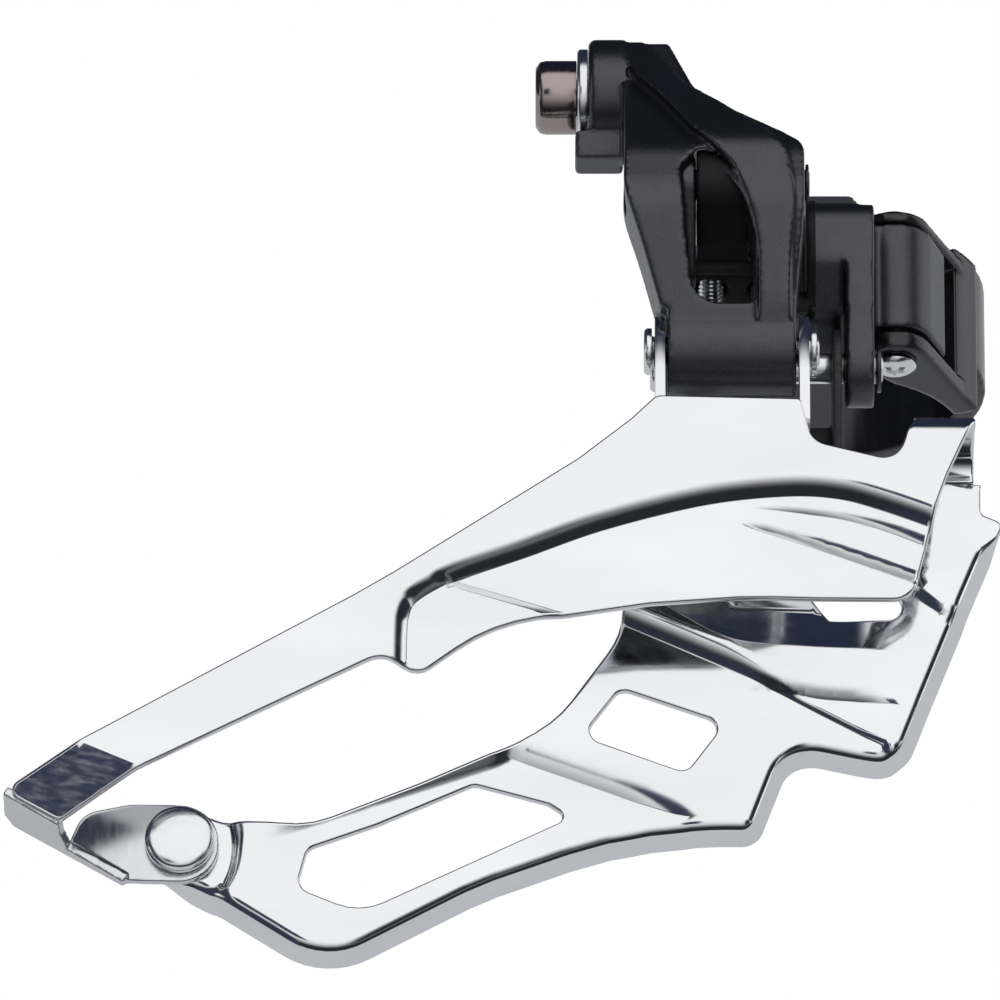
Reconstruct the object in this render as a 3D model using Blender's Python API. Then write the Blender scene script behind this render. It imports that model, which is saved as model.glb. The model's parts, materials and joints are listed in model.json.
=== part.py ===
"""Band-on front derailleur for a bicycle with three chainrings, at rest over the smallest ring.

World frame, metres: +X forward, +Y towards the bicycle's middle plane, +Z up the seat tube.
The origin is on the tube's axis at the height of the clamp bolt. Lengths below are in millimetres; "out" is
the distance outboard of the seat tube's axis, so out = -Y.
"""

import math

import bmesh
import bpy
from mathutils import Vector
from mathutils.geometry import delaunay_2d_cdt

MM = 0.001
GAP = 0.3

# Seat tube clamp
TUBE_R = 15.9
SADDLE_R = 18.0
BAND_R = 18.5
CLAMP_TOP = 7.2
BAND_LOW = -6.3
SADDLE_LOW = -12.0
HINGE = (7.9, 19.6)
HINGE_PIN_R = 1.6
SPLIT_DEG = 250.0
LUG_OUT = 27.2
CLAMP_BOLT_R = 2.5

# Parallelogram, each pivot as (out, z), all axes along X
P1 = (41.0, -0.6)
Q1 = (37.5, -19.5)
P2 = (25.0, -15.4)
Q2 = (P2[0] + Q1[0] - P1[0], P2[1] + Q1[1] - P1[1])
PIN_R = 1.7
BARREL_R = 5.1
BARREL_X = (-17.7, -3.5)

# Cable anchor on the outer link's arm
ANCHOR = (25.0, 18.5)
BOSS_R = 6.5
BOSS_X = (-26.3, -22.3)

# Cage, one stamping folded over at the front and riveted at the tail
SHEET = 1.1
OUTER_FACE = 44.5
INNER_FACE = 30.6
TAIL_FACE = 35.25
RIVET = (-71.2, -78.4)
TAB_FACE = 35.5


# Materials as (colour, metallic, roughness)
STEEL = ((0.80, 0.80, 0.82), 1.0, 0.12)
ZINC = ((0.72, 0.73, 0.75), 1.0, 0.28)
BLACK = ((0.030, 0.031, 0.036), 0.5, 0.38)
GLOSS = ((0.012, 0.012, 0.014), 0.2, 0.2)
NICKEL = ((0.30, 0.27, 0.27), 1.0, 0.2)


def clear_scene():
    for item in list(bpy.data.objects):
        bpy.data.objects.remove(item, do_unlink=True)


def world(x, out, z):
    return Vector((x * MM, -out * MM, z * MM))


def paint(name, colour, metallic, roughness):
    material = bpy.data.materials.new(name)
    material.use_nodes = True
    shader = material.node_tree.nodes["Principled BSDF"]
    shader.inputs["Base Color"].default_value = (*colour, 1.0)
    shader.inputs["Metallic"].default_value = metallic
    shader.inputs["Roughness"].default_value = roughness
    return material


def make_object(name, verts, faces, material, origin=None, smooth=True):
    """A mesh object from millimetre vertices given as (x, out, z), its origin at a world point."""
    centre = origin if origin is not None else Vector((0.0, 0.0, 0.0))
    mesh = bpy.data.meshes.new(name)
    points = [world(*v) - centre for v in verts]
    mesh.from_pydata(points, [], faces)
    mesh.update()
    for face in mesh.polygons:
        face.use_smooth = smooth
    item = bpy.data.objects.new(name, mesh)
    item.location = centre
    bpy.context.scene.collection.objects.link(item)
    if material is not None:
        mesh.materials.append(paint(name, *material))
    fix_winding(item)
    return item


def fix_winding(item):
    """Turns the faces outwards by the sign of the enclosed volume."""
    mesh = item.data
    volume = 0.0
    for face in mesh.polygons:
        ring = [mesh.vertices[i].co for i in face.vertices]
        for k in range(1, len(ring) - 1):
            volume += ring[0].dot(ring[k].cross(ring[k + 1]))
    if volume < 0.0:
        mesh.flip_normals()


def combine(item, other, operation):
    """Applies one exact Boolean and removes the tool object."""
    step = item.modifiers.new(operation.lower(), "BOOLEAN")
    step.operation = operation
    step.solver = "EXACT"
    step.object = other
    graph = bpy.context.evaluated_depsgraph_get()
    mesh = bpy.data.meshes.new_from_object(item.evaluated_get(graph), depsgraph=graph)
    old = item.data
    item.modifiers.clear()
    item.data = mesh
    bpy.data.meshes.remove(old)
    bpy.data.objects.remove(other, do_unlink=True)
    return item


def join(item, *others):
    for other in others:
        combine(item, other, "UNION")
    return item


def cut(item, *others):
    for other in others:
        combine(item, other, "DIFFERENCE")
    return item


def finish(item, material, name):
    item.name = name
    item.data.name = name
    item.data.materials.clear()
    item.data.materials.append(paint(name, *material))
    for face in item.data.polygons:
        face.use_smooth = True
        face.material_index = 0
    return item


# Outlines


def rounded(corners, step=24.0):
    """A closed outline with each corner (a, b, radius) replaced by an arc."""
    points = []
    count = len(corners)
    for i in range(count):
        here = Vector(corners[i][:2])
        radius = corners[i][2] if len(corners[i]) > 2 else 0.0
        before = (Vector(corners[i - 1][:2]) - here).normalized()
        after = (Vector(corners[(i + 1) % count][:2]) - here).normalized()
        turn = math.pi - before.angle(after)
        if radius <= 0.0 or turn < 0.02:
            points.append(here)
            continue
        reach = radius * math.tan(turn / 2)
        limit = 0.49 * min((Vector(corners[i - 1][:2]) - here).length,
                           (Vector(corners[(i + 1) % count][:2]) - here).length)
        reach = min(reach, limit)
        radius = reach / math.tan(turn / 2)
        bisector = (before + after).normalized()
        middle = here + bisector * (radius / math.cos(turn / 2))
        start = here + before * reach - middle
        pieces = max(1, round(math.degrees(turn) / step))
        sign = 1.0 if start.cross(here + after * reach - middle) > 0 else -1.0
        for k in range(pieces + 1):
            angle = sign * turn * k / pieces
            spun = Vector((start.x * math.cos(angle) - start.y * math.sin(angle),
                           start.x * math.sin(angle) + start.y * math.cos(angle)))
            points.append(middle + spun)
    return points


def circle(a, b, radius, count=24):
    return [Vector((a + radius * math.cos(2 * math.pi * k / count),
                    b + radius * math.sin(2 * math.pi * k / count))) for k in range(count)]


def divided(points, longest):
    """Adds points along the edges longer than a length."""
    result = []
    for i, here in enumerate(points):
        there = points[(i + 1) % len(points)]
        pieces = max(1, math.ceil((there - here).length / longest))
        for k in range(pieces):
            result.append(here.lerp(there, k / pieces))
    return result


def area(points):
    total = 0.0
    for i, here in enumerate(points):
        there = points[(i + 1) % len(points)]
        total += here.x * there.y - there.x * here.y
    return total / 2


def normals(points):
    """Outward unit normals of a closed outline that runs anticlockwise."""
    result = []
    for i in range(len(points)):
        ahead = (points[(i + 1) % len(points)] - points[i]).normalized()
        behind = (points[i] - points[i - 1]).normalized()
        along = (ahead + behind).normalized()
        result.append(Vector((along.y, -along.x)))
    return result


def fill(outer, holes, spacing):
    """Triangles over an outline with holes, with grid points inside for relief."""
    points = list(outer)
    loops = [list(range(len(outer)))]
    for hole in holes:
        loops.append(list(range(len(points), len(points) + len(hole))))
        points += list(hole)
    if spacing:
        low_a = min(p.x for p in outer)
        high_a = max(p.x for p in outer)
        low_b = min(p.y for p in outer)
        high_b = max(p.y for p in outer)
        edge = list(points)
        rows = int((high_b - low_b) / spacing) + 1
        columns = int((high_a - low_a) / spacing) + 1
        for r in range(1, rows):
            for c in range(1, columns):
                shift = 0.5 * spacing * (r % 2)
                here = Vector((low_a + c * spacing + shift, low_b + r * spacing))
                if min((here - p).length_squared for p in edge) > (0.55 * spacing) ** 2:
                    points.append(here)
    edges = []
    for loop in loops:
        edges += [(loop[i], loop[(i + 1) % len(loop)]) for i in range(len(loop))]
    verts, _, faces, origin, _, _ = delaunay_2d_cdt(points, edges, [], 0, 1e-5)
    inside = []
    for face in faces:
        middle = sum((verts[i] for i in face), Vector((0.0, 0.0))) / len(face)
        if contains(outer, middle) and not any(contains(h, middle) for h in holes):
            inside.append(list(face))
    used = sorted({i for face in inside for i in face})
    number = {old: new for new, old in enumerate(used)}
    first = {}
    for new, old in enumerate(used):
        for source in origin[old]:
            first[source] = new
    kept = [verts[i].copy() for i in used]
    return kept, [[number[i] for i in face] for face in inside], [[first[i] for i in loop] for loop in loops]


def contains(outline, point):
    inside = False
    for i, here in enumerate(outline):
        there = outline[(i + 1) % len(outline)]
        if (here.y > point.y) != (there.y > point.y):
            crossing = here.x + (point.y - here.y) * (there.x - here.x) / (there.y - here.y)
            if point.x < crossing:
                inside = not inside
    return inside


# Edge sections of a pressed sheet as (inset, depth) pairs, from the outer face round to the back.
# The first list is a plain cut edge, the second a lip folded inboard.
PLAIN_EDGE = [(0.40, 0.0), (0.22, 0.0), (0.08, 0.08), (0.0, 0.3), (0.0, 0.8), (0.1, 1.0),
              (0.22, 1.08), (0.32, 1.1), (0.40, 1.1)]
LIP_EDGE = [(2.4, 0.0), (1.7, 0.15), (1.1, 0.65), (0.75, 1.3), (0.0, 2.8), (0.98, 3.05),
            (1.6, 1.9), (2.05, 1.25), (2.4, 1.1)]


def sheet(name, outline, holes, face, lip, spacing):
    """A closed pressed sheet parallel to XZ: face(x, z) gives "out", lip(x, z) from 0 to 1 the fold."""
    border = list(outline)
    if area(border) < 0:
        border.reverse()
    away = normals(border)
    share = [lip(p.x, p.y) for p in border]
    inner = []
    for point, normal, amount in zip(border, away, share):
        inset = PLAIN_EDGE[0][0] * (1 - amount) + LIP_EDGE[0][0] * amount
        inner.append(point - normal * inset)
    cuts = []
    for hole in holes:
        ring = list(hole)
        if area(ring) < 0:
            ring.reverse()
        cuts.append(ring)
    kept, faces, loops = fill(inner, cuts, spacing)
    count = len(kept)
    verts = [(p.x, face(p.x, p.y), p.y) for p in kept]
    verts += [(p.x, face(p.x, p.y) - SHEET, p.y) for p in kept]
    solid = [list(f) for f in faces] + [[i + count for i in reversed(f)] for f in faces]
    rows = [loops[0]]
    for k in range(1, len(PLAIN_EDGE) - 1):
        row = []
        for point, normal, amount in zip(border, away, share):
            inset = PLAIN_EDGE[k][0] * (1 - amount) + LIP_EDGE[k][0] * amount
            depth = PLAIN_EDGE[k][1] * (1 - amount) + LIP_EDGE[k][1] * amount
            base = point - normal * max(inset, 0.4 * (1 - amount) + 2.4 * amount)
            spot = point - normal * inset
            row.append(len(verts))
            verts.append((spot.x, face(base.x, base.y) - depth, spot.y))
        rows.append(row)
    rows.append([i + count for i in loops[0]])
    for first, second in zip(rows, rows[1:]):
        for i in range(len(first)):
            j = (i + 1) % len(first)
            solid.append([first[j], first[i], second[i], second[j]])
    for loop in loops[1:]:
        for i in range(len(loop)):
            j = (i + 1) % len(loop)
            solid.append([loop[i], loop[j], loop[j] + count, loop[i] + count])
    return make_object(name, verts, solid, None)


def prism(name, outline, low, high, axis="x", holes=()):
    """A solid between two planes across an axis: x takes (out, z), y takes (x, z), z takes (x, out)."""
    kept, faces, loops = fill(outline, list(holes), 0)
    count = len(kept)

    def place(point, level):
        if axis == "x":
            return (level, point.x, point.y)
        if axis == "y":
            return (point.x, level, point.y)
        return (point.x, point.y, level)

    verts = [place(p, low) for p in kept] + [place(p, high) for p in kept]
    solid = [list(f) for f in faces] + [[i + count for i in reversed(f)] for f in faces]
    for loop in loops:
        for i in range(len(loop)):
            j = (i + 1) % len(loop)
            solid.append([loop[j], loop[i], loop[i] + count, loop[j] + count])
    item = make_object(name, verts, solid, None)
    weld(item)
    return item


def weld(item):
    """Makes every face of a prism agree in winding, then turns them outwards."""
    work = bmesh.new()
    work.from_mesh(item.data)
    bmesh.ops.recalc_face_normals(work, faces=work.faces)
    work.to_mesh(item.data)
    work.free()


def turned(name, profile, centre, axis="x", count=28):
    """A solid of revolution: profile lists (along, radius) from end to end, axis x, y or z."""
    verts = []
    rows = []
    for along, radius in profile:
        if radius <= 0.0:
            rows.append([len(verts)])
            verts.append(spin_point(centre, axis, along, 0.0, 0.0))
            continue
        row = []
        for k in range(count):
            angle = 2 * math.pi * k / count
            row.append(len(verts))
            verts.append(spin_point(centre, axis, along, radius * math.cos(angle), radius * math.sin(angle)))
        rows.append(row)
    faces = []
    for first, second in zip(rows, rows[1:]):
        for k in range(count):
            a, b = first[k % len(first)], first[(k + 1) % len(first)]
            c, d = second[(k + 1) % len(second)], second[k % len(second)]
            ring = [a, b, c, d]
            ring = [v for n, v in enumerate(ring) if v not in ring[:n]]
            if len(ring) > 2:
                faces.append(ring)
    if len(rows[0]) > 1:
        faces.append(list(reversed(rows[0])))
    if len(rows[-1]) > 1:
        faces.append(list(rows[-1]))
    item = make_object(name, verts, faces, None)
    weld(item)
    return item


def spin_point(centre, axis, along, a, b):
    x, out, z = centre
    if axis == "x":
        return (x + along, out + a, z + b)
    if axis == "y":
        return (x + a, out + along, z + b)
    return (x + a, out + b, z + along)


def polar(radius, degrees):
    return Vector((radius * math.cos(math.radians(degrees)), radius * math.sin(math.radians(degrees))))


def sector(low_r, high_r, start, end, pieces):
    """A ring sector in (x, out), the angle measured from forward towards outboard."""
    angles = [start + (end - start) * k / pieces for k in range(pieces + 1)]
    return [polar(high_r, a) for a in angles] + [polar(low_r, a) for a in reversed(angles)]


def set_pivot(item, point):
    """Moves an object's origin to a world point and leaves the mesh where it is."""
    shift = point - item.location
    for vertex in item.data.vertices:
        vertex.co -= shift
    item.location = point


# Cage


def blend(value, low, high):
    if high == low:
        return 1.0 if value >= high else 0.0
    t = min(max((value - low) / (high - low), 0.0), 1.0)
    return t * t * (3 - 2 * t)


def side(x, z, a, b):
    """Signed distance from the line a-b, positive to its left."""
    along = Vector((b[0] - a[0], b[1] - a[1])).normalized()
    return along.x * (z - a[1]) - along.y * (x - a[0])


def curve_height(x, points):
    """Height of a broken line at x, its points sorted by x."""
    if x <= points[0][0]:
        return points[0][1]
    for (a, b), (c, d) in zip(points, points[1:]):
        if x <= c:
            return b + (d - b) * (x - a) / (c - a)
    return points[-1][1]


STEP_LINE = [(-48.5, -56.5), (-47.3, -53.3), (-45.0, -51.3), (-40.6, -48.9), (-34.0, -46.4),
             (-25.0, -42.8), (-14.0, -39.7), (-5.0, -38.5), (1.0, -38.8), (6.0, -40.2), (11.5, -42.0)]
VEE_LINE = [(-18.0, -41.0), (-11.0, -42.9), (4.0, -48.2), (12.0, -51.0)]
RAMP_LINE = [(-41.0, -50.4), (-38.3, -52.0), (-30.6, -54.9), (-20.0, -57.0)]


def outer_face(x, z):
    """The outer plate stands proud along its top, drops at a pressed step and bends in at the tail."""
    out = OUTER_FACE
    below = curve_height(x, STEP_LINE) - z
    inside = blend(x, -49.0, -47.6)
    out -= 1.5 * blend(below, -0.2, 1.3) * inside
    out += 0.9 * blend(below, 3.0, 4.2) * blend(x, -16.0, -4.0)
    vee = abs(curve_height(x, VEE_LINE) - z)
    out -= 0.7 * (1 - blend(vee, 0.0, 1.1)) * blend(x, -13.0, -4.0)
    out += 0.5 * blend(curve_height(x, RAMP_LINE) - z, -0.5, 0.5) * blend(x, -42.0, -38.0)
    tail = side(x, z, (-76.3, -73.6), (-83.5, -70.7))
    out -= 0.30 * max(tail, 0.0)
    return out


C1 = [(-24.0, -50.8), (-6.0, -58.8), (5.8, -65.0), (12.0, -68.2)]
C2 = [(-6.0, -58.8), (7.0, -60.3), (9.2, -61.4)]
CREST = [(-23.0, -49.6), (-15.0, -52.4), (-8.3, -54.2), (5.0, -54.4)]
LOWER_STEP = [(-34.8, -66.0), (-11.8, -74.2)]


def inner_base(x):
    share = min(max((15.0 - x) / 81.0, 0.0), 1.0)
    return INNER_FACE + (TAIL_FACE - INNER_FACE) * share


def inner_face(x, z):
    """The inner plate's shelf stands outboard of the hole field, which stands outboard of the rail."""
    out = inner_base(x)
    # hole field against the lower rail
    field = side(x, z, LOWER_STEP[0], LOWER_STEP[1])
    out += 1.3 * blend(field, -2.4, 0.2) * blend(x, -37.5, -33.0)
    # rim of the rail, above the long window
    rail = side(x, z, (-60.0, -77.8), (-36.0, -68.7))
    out += 1.3 * blend(rail, 0.0, 2.6) * (1 - blend(x, -37.5, -33.0)) * blend(x, -63.0, -59.0)
    # shelf
    above = z - curve_height(x, C1)
    front = 1 - blend(x, 8.2, 9.4)
    out += 1.7 * blend(above, 0.0, 1.7)
    out += 0.9 * blend(z - curve_height(x, C2), 0.0, 1.0) * blend(x, -6.5, 0.0) * front
    crest = z - curve_height(x, CREST)
    out -= 0.30 * min(max(crest, 0.0), 5.5) * front
    out += 0.8 * blend(z + 49.0, 0.0, 1.4) * blend(x, 8.8, 10.0)
    # seat of the tail tab
    tail = side(x, z, (-69.4, -85.5), (-66.0, -76.0))
    out -= 0.9 * blend(tail, -1.0, 1.2)
    return out


OUTER_LINE = [(-90.6, -75.1, 1.2), (-50.0, -51.2, 80), (-24.5, -33.8, 40), (-19.0, -28.2, 1.5),
              (-3.1, -28.6, 0.6), (-1.9, -33.8, 2.6), (7.3, -36.2, 2.2), (9.3, -30.6, 0.0),
              (16.1, -30.6, 0.0), (12.2, -39.6, 25), (10.0, -48.0, 12), (9.0, -52.3, 3.4),
              (-15.0, -52.1, 60), (-37.0, -55.6, 22), (-44.9, -61.6, 2.4), (-49.4, -59.8, 3.0),
              (-76.3, -73.8, 20), (-84.3, -78.7, 1.0)]
INNER_LINE = [(-76.6, -80.5, 4.0), (-69.0, -84.5, 14), (-55.2, -93.6, 9), (-38.0, -83.4, 25),
              (-22.0, -76.9, 40), (-8.0, -76.5, 2.6), (-4.2, -65.9, 3.8), (7.9, -68.3, 4.2),
              (19.4, -38.1, 1.0), (16.9, -37.0, 0.7), (16.9, -31.2, 0.0), (9.3, -31.2, 0.0),
              (8.6, -34.5, 1.5), (-18.5, -34.5, 3.0), (-22.4, -45.0, 8.0), (-22.9, -52.5, 10.0),
              (-30.5, -63.8, 14), (-45.0, -70.6, 30), (-57.5, -76.0, 12), (-66.5, -75.4, 5),
              (-71.2, -73.4, 4.6), (-76.6, -75.5, 4.0)]
SQUARE_HOLE = [(-23.0, -59.0, 1.5), (-11.6, -62.9, 1.5), (-15.8, -69.0, 1.5), (-27.2, -64.9, 1.5)]
LONG_HOLE = [(-57.2, -78.7, 1.5), (-58.4, -83.4, 1.6), (-51.5, -86.2, 6.0), (-28.6, -74.2, 1.2),
             (-31.0, -72.6, 1.4), (-39.0, -70.5, 1.2), (-49.5, -75.6, 2.0)]
SLOT_HOLE = [(-2.1, -46.9, 0.3), (8.0, -46.9, 1.6), (8.0, -50.1, 1.6), (0.1, -50.1, 0.3)]


def inner_lip(x, z):
    """The lip runs along the lower and front edges and fades at the tail and the front corner."""
    below = blend(curve_height(x, [(-76.0, -79.0), (-66.0, -81.0), (-55.0, -88.0), (-38.0, -80.0),
                                   (-9.0, -72.5), (-4.0, -62.0), (8.0, -58.0)]) - z, 0.0, 1.5)
    if x < 8.0:
        return below * blend(x, -73.5, -69.5)
    return 1 - blend(z, -42.5, -39.5)


def ear(name, pivot, root, low, high):
    """A lug across X: round about a pivot and tangent to the corners of its root on the plate."""
    around = [Vector(pivot) + polar(3.9, 15 * k) for k in range(24)]
    outline = hull(around + [Vector(p) for p in root])
    return prism(name, outline, low, high)


def hull(points):
    ordered = sorted(points, key=lambda p: (p.x, p.y))
    lower, upper = [], []
    for row, source in ((lower, ordered), (upper, list(reversed(ordered)))):
        for p in source:
            while len(row) > 1 and (row[-1] - row[-2]).cross(p - row[-1]) <= 1e-9:
                row.pop()
            row.append(p)
    return lower[:-1] + upper[:-1]


def make_cage():
    outer = sheet("cage", divided(rounded(OUTER_LINE), 4.0), [], outer_face, lambda x, z: 0.0, 2.6)
    border = divided(rounded(INNER_LINE, 20.0), 3.6)
    holes = [divided(rounded(h, 30.0), 4.5) for h in (SQUARE_HOLE, LONG_HOLE, SLOT_HOLE)]
    inner = sheet("inner", border, holes, inner_face, inner_lip, 2.6)
    join(outer, inner, make_bridge(), make_tail())
    for low in (-19.1, -3.2):
        join(outer, ear("ear", Q1, [(44.2, -26.0), (44.2, -31.0), (41.0, -31.5)], low, low + SHEET))
    for low in (-13.6, -1.2):
        root = min(inner_face(low + 0.5, z) for z in (-35.4, -39.0, -43.0)) - 0.5
        join(outer, ear("ear", Q2, [(root, -35.0), (root, -43.0)], low, low + SHEET))
    for pivot in (Q1, Q2):
        bore = turned("bore", [(-25.0, PIN_R + GAP), (5.0, PIN_R + GAP)], (0.0, *pivot), count=20)
        cut(outer, bore)
    cut(outer, turned("bore", [(-9.0, 1.9), (6.0, 1.9)], (RIVET[0], TAB_FACE, RIVET[1]), "y", 20))
    finish(outer, STEEL, "cage")
    set_pivot(outer, world(0.5 * (BARREL_X[0] + BARREL_X[1]), *Q1))
    return outer


def make_bridge():
    """The arch over the front of the cage, swept between the two plates."""
    top = -29.8
    outside = [(OUTER_FACE - 0.02, -33.0)]
    for k in range(7):
        outside.append((OUTER_FACE - 3.4 + 3.4 * math.cos(math.radians(15 * k)),
                        top - 3.4 + 3.4 * math.sin(math.radians(15 * k))))
    low = inner_face(12.0, -33.0) - SHEET + 0.12
    for k in range(7):
        outside.append((low + 3.4 - 3.4 * math.sin(math.radians(15 * k)),
                        top - 3.4 + 3.4 * math.cos(math.radians(15 * k))))
    outside.append((low, -34.0))
    inside = []
    for i, (a, b) in enumerate(outside):
        before = Vector(outside[max(i - 1, 0)])
        after = Vector(outside[min(i + 1, len(outside) - 1)])
        along = (after - before).normalized()
        inside.append((a - along.y * SHEET, b + along.x * SHEET))
    outside[0] = (OUTER_FACE - 0.12, -33.0)
    inside[0] = (OUTER_FACE - SHEET + 0.12, -33.0)
    inside[-1] = (low + SHEET - 0.24, -34.0)
    return prism("bridge", [Vector(p) for p in outside + list(reversed(inside))], 9.4, 16.2)


def make_tail():
    """The wall closing the tail and the tab it carries onto the inner plate."""
    start = Vector((-90.4, -75.3))
    end = Vector((-84.4, -78.9))
    along = (end - start).normalized()
    far = end + along * 8.3
    across = Vector((along.y, -along.x))
    face = outer_face(*start) - 0.15
    corners = [(start, face), (end, outer_face(*end) - 0.15), (far, TAB_FACE), (far, TAB_FACE - SHEET),
               (start + along * 1.2, TAB_FACE - SHEET), (start, TAB_FACE + 0.8)]
    verts = []
    for shift in (-0.1, SHEET - 0.1):
        for point, out in corners:
            spot = point - across * shift
            verts.append((spot.x, out, spot.y))
    count = len(corners)
    faces = [list(range(count)), [i + count for i in reversed(range(count))]]
    for i in range(count):
        j = (i + 1) % count
        faces.append([j, i, i + count, j + count])
    wall = make_object("wall", verts, faces, None)
    weld(wall)
    tab = [(-83.4, -78.6, 0.0), (-81.8, -74.8, 3.0), (-76.5, -73.7, 6.0), (-66.9, -73.9, 4.5),
           (-66.9, -83.2, 4.5), (-77.2, -82.9, 1.0)]
    return join(wall, prism("tab", rounded(tab), TAB_FACE - SHEET, TAB_FACE, "y"))


# Outer link, the casting that carries the cable anchor

ARM_SIDE = [(41.6, -20.6, 0.0), (42.9, -15.8, 8.0), (46.4, -4.2, 9.0), (44.6, 2.6, 6.0), (38.0, 10.4, 20.0),
            (31.6, 17.0, 3.0), (28.6, 23.6, 0.0), (21.0, 14.6, 0.0), (27.0, 8.6, 8.0), (35.2, 3.2, 3.0),
            (37.6, -5.0, 10.0), (34.0, -17.0, 0.0)]
ARM_FRONT = [(-17.7, -22.5, 0.0), (-17.7, -14.9, 0.0), (-19.2, -14.9, 0.3), (-21.6, -11.6, 12.0),
             (-23.0, -6.5, 10.0), (-22.4, -2.0, 10.0), (-22.4, 26.5, 0.0), (-18.6, 26.5, 1.5),
             (-14.4, 13.0, 10.0), (-6.2, 5.6, 4.0), (-3.0, 2.6, 2.0), (-2.5, -5.0, 20.0),
             (-3.5, -16.0, 20.0), (-3.5, -22.5, 0.0)]
ARM_WINDOW = [(-13.8, 2.6, 0.5), (-16.3, -0.4, 1.4), (-15.6, -9.0, 20.0), (-14.8, -15.9, 3.0),
              (-8.1, -15.9, 0.6), (-8.1, -8.5, 12.0), (-9.4, -4.0, 12.0)]


def make_outer_link():
    link = prism("outer_link", rounded(ARM_SIDE), -27.0, 0.0)
    front = prism("front", rounded(ARM_FRONT), 0.0, 60.0, "y")
    combine(link, front, "INTERSECT")
    barrel = turned("barrel", [(BARREL_X[0], BARREL_R), (BARREL_X[1], BARREL_R)], (0.0, *Q1), count=32)
    boss = turned("boss", [(BOSS_X[0], BOSS_R - 0.5), (BOSS_X[0] + 0.5, BOSS_R), (BOSS_X[1] + 0.2, BOSS_R)],
                  (0.0, *ANCHOR), count=32)
    knuckles = []
    for low, high in ((-17.7, -14.8), (-8.2, -3.2)):
        knuckles.append(turned("knuckle", [(low, 4.3), (high, 4.3)], (0.0, *P1), count=24))
    rib = prism("rib", rounded([(41.9, -20.0, 0.0), (43.9, -15.8, 8.0), (47.2, -4.2, 9.0), (45.6, 2.0, 5.0),
                                (42.0, 3.5, 0.0), (40.0, -6.0, 0.0), (38.5, -20.0, 0.0)]), -8.0, -3.9)
    join(link, barrel, boss, rib, *knuckles)
    window = prism("window", rounded(ARM_WINDOW), 25.0, 60.0, "y")
    around = [Vector(P1) + polar(4.3, 15 * k) for k in range(24)]
    bay = hull(around + [Vector((22.5, 9.4)), Vector((24.0, -12.0))])
    cut(link, window, prism("bay", bay, KNUCKLE_X[0] - 0.35, KNUCKLE_X[1] + 0.35))
    cut(link, turned("bore", [(-25.0, 3.2), (BARREL_X[0], 3.2)], (0.0, *P1), count=20))
    cut(link, turned("bore", [(-25.0, PIN_R + GAP), (5.0, PIN_R + GAP)], (0.0, *P1), count=20))
    cut(link, turned("bore", [(-25.0, PIN_R + GAP), (5.0, PIN_R + GAP)], (0.0, *Q1), count=20))
    cut(link, turned("bore", [(-30.0, 2.3), (-19.8, 2.3)], (0.0, *ANCHOR), count=20))
    hook = prism("hook", [Vector(p) for p in ((28.2, 12.7), (22.2, 12.5), (22.8, 9.0), (27.6, 8.8))],
                 -27.8, -22.4)
    join(link, hook)
    finish(link, BLACK, "outer_link")
    set_pivot(link, world(0.5 * (BARREL_X[0] + BARREL_X[1]), *P1))
    return link


# Inner link, a pressed steel channel

INNER_EARS = ((-15.4, -14.3), (0.7, 1.8))


def make_inner_link():
    around = [Vector(P2) + polar(4.4, 15 * k) for k in range(24)]
    around += [Vector(Q2) + polar(4.0, 15 * k) for k in range(24)]
    outline = hull(around)
    link = prism("inner_link", outline, *INNER_EARS[0])
    join(link, prism("ear", outline, *INNER_EARS[1]))
    down = (Vector(Q2) - Vector(P2)).normalized()
    across = Vector((-down.y, down.x))
    if across.x > 0:
        across = -across
    first = Vector(P2) + down * 6.0
    last = Vector(Q2) - down * 5.6
    near = 2.8
    far = near + 1.1
    web = [first + across * near, last + across * near, last + across * far, first + across * far]
    join(link, prism("web", web, INNER_EARS[0][0] + 0.2, INNER_EARS[1][1] - 0.2))
    for pivot in (P2, Q2):
        cut(link, turned("bore", [(-25.0, PIN_R + GAP), (8.0, PIN_R + GAP)], (0.0, *pivot), count=20))
    finish(link, BLACK, "inner_link")
    set_pivot(link, world(-6.0, *P2))
    return link


# Clamp body

SCREW_OUT = 31.5
SCREW_X = {"low": -12.8, "high": -6.9}
SCREW_R = 1.45
SCREW_TOP = -4.3
KNUCKLE_X = (-14.4, -8.6)


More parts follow.
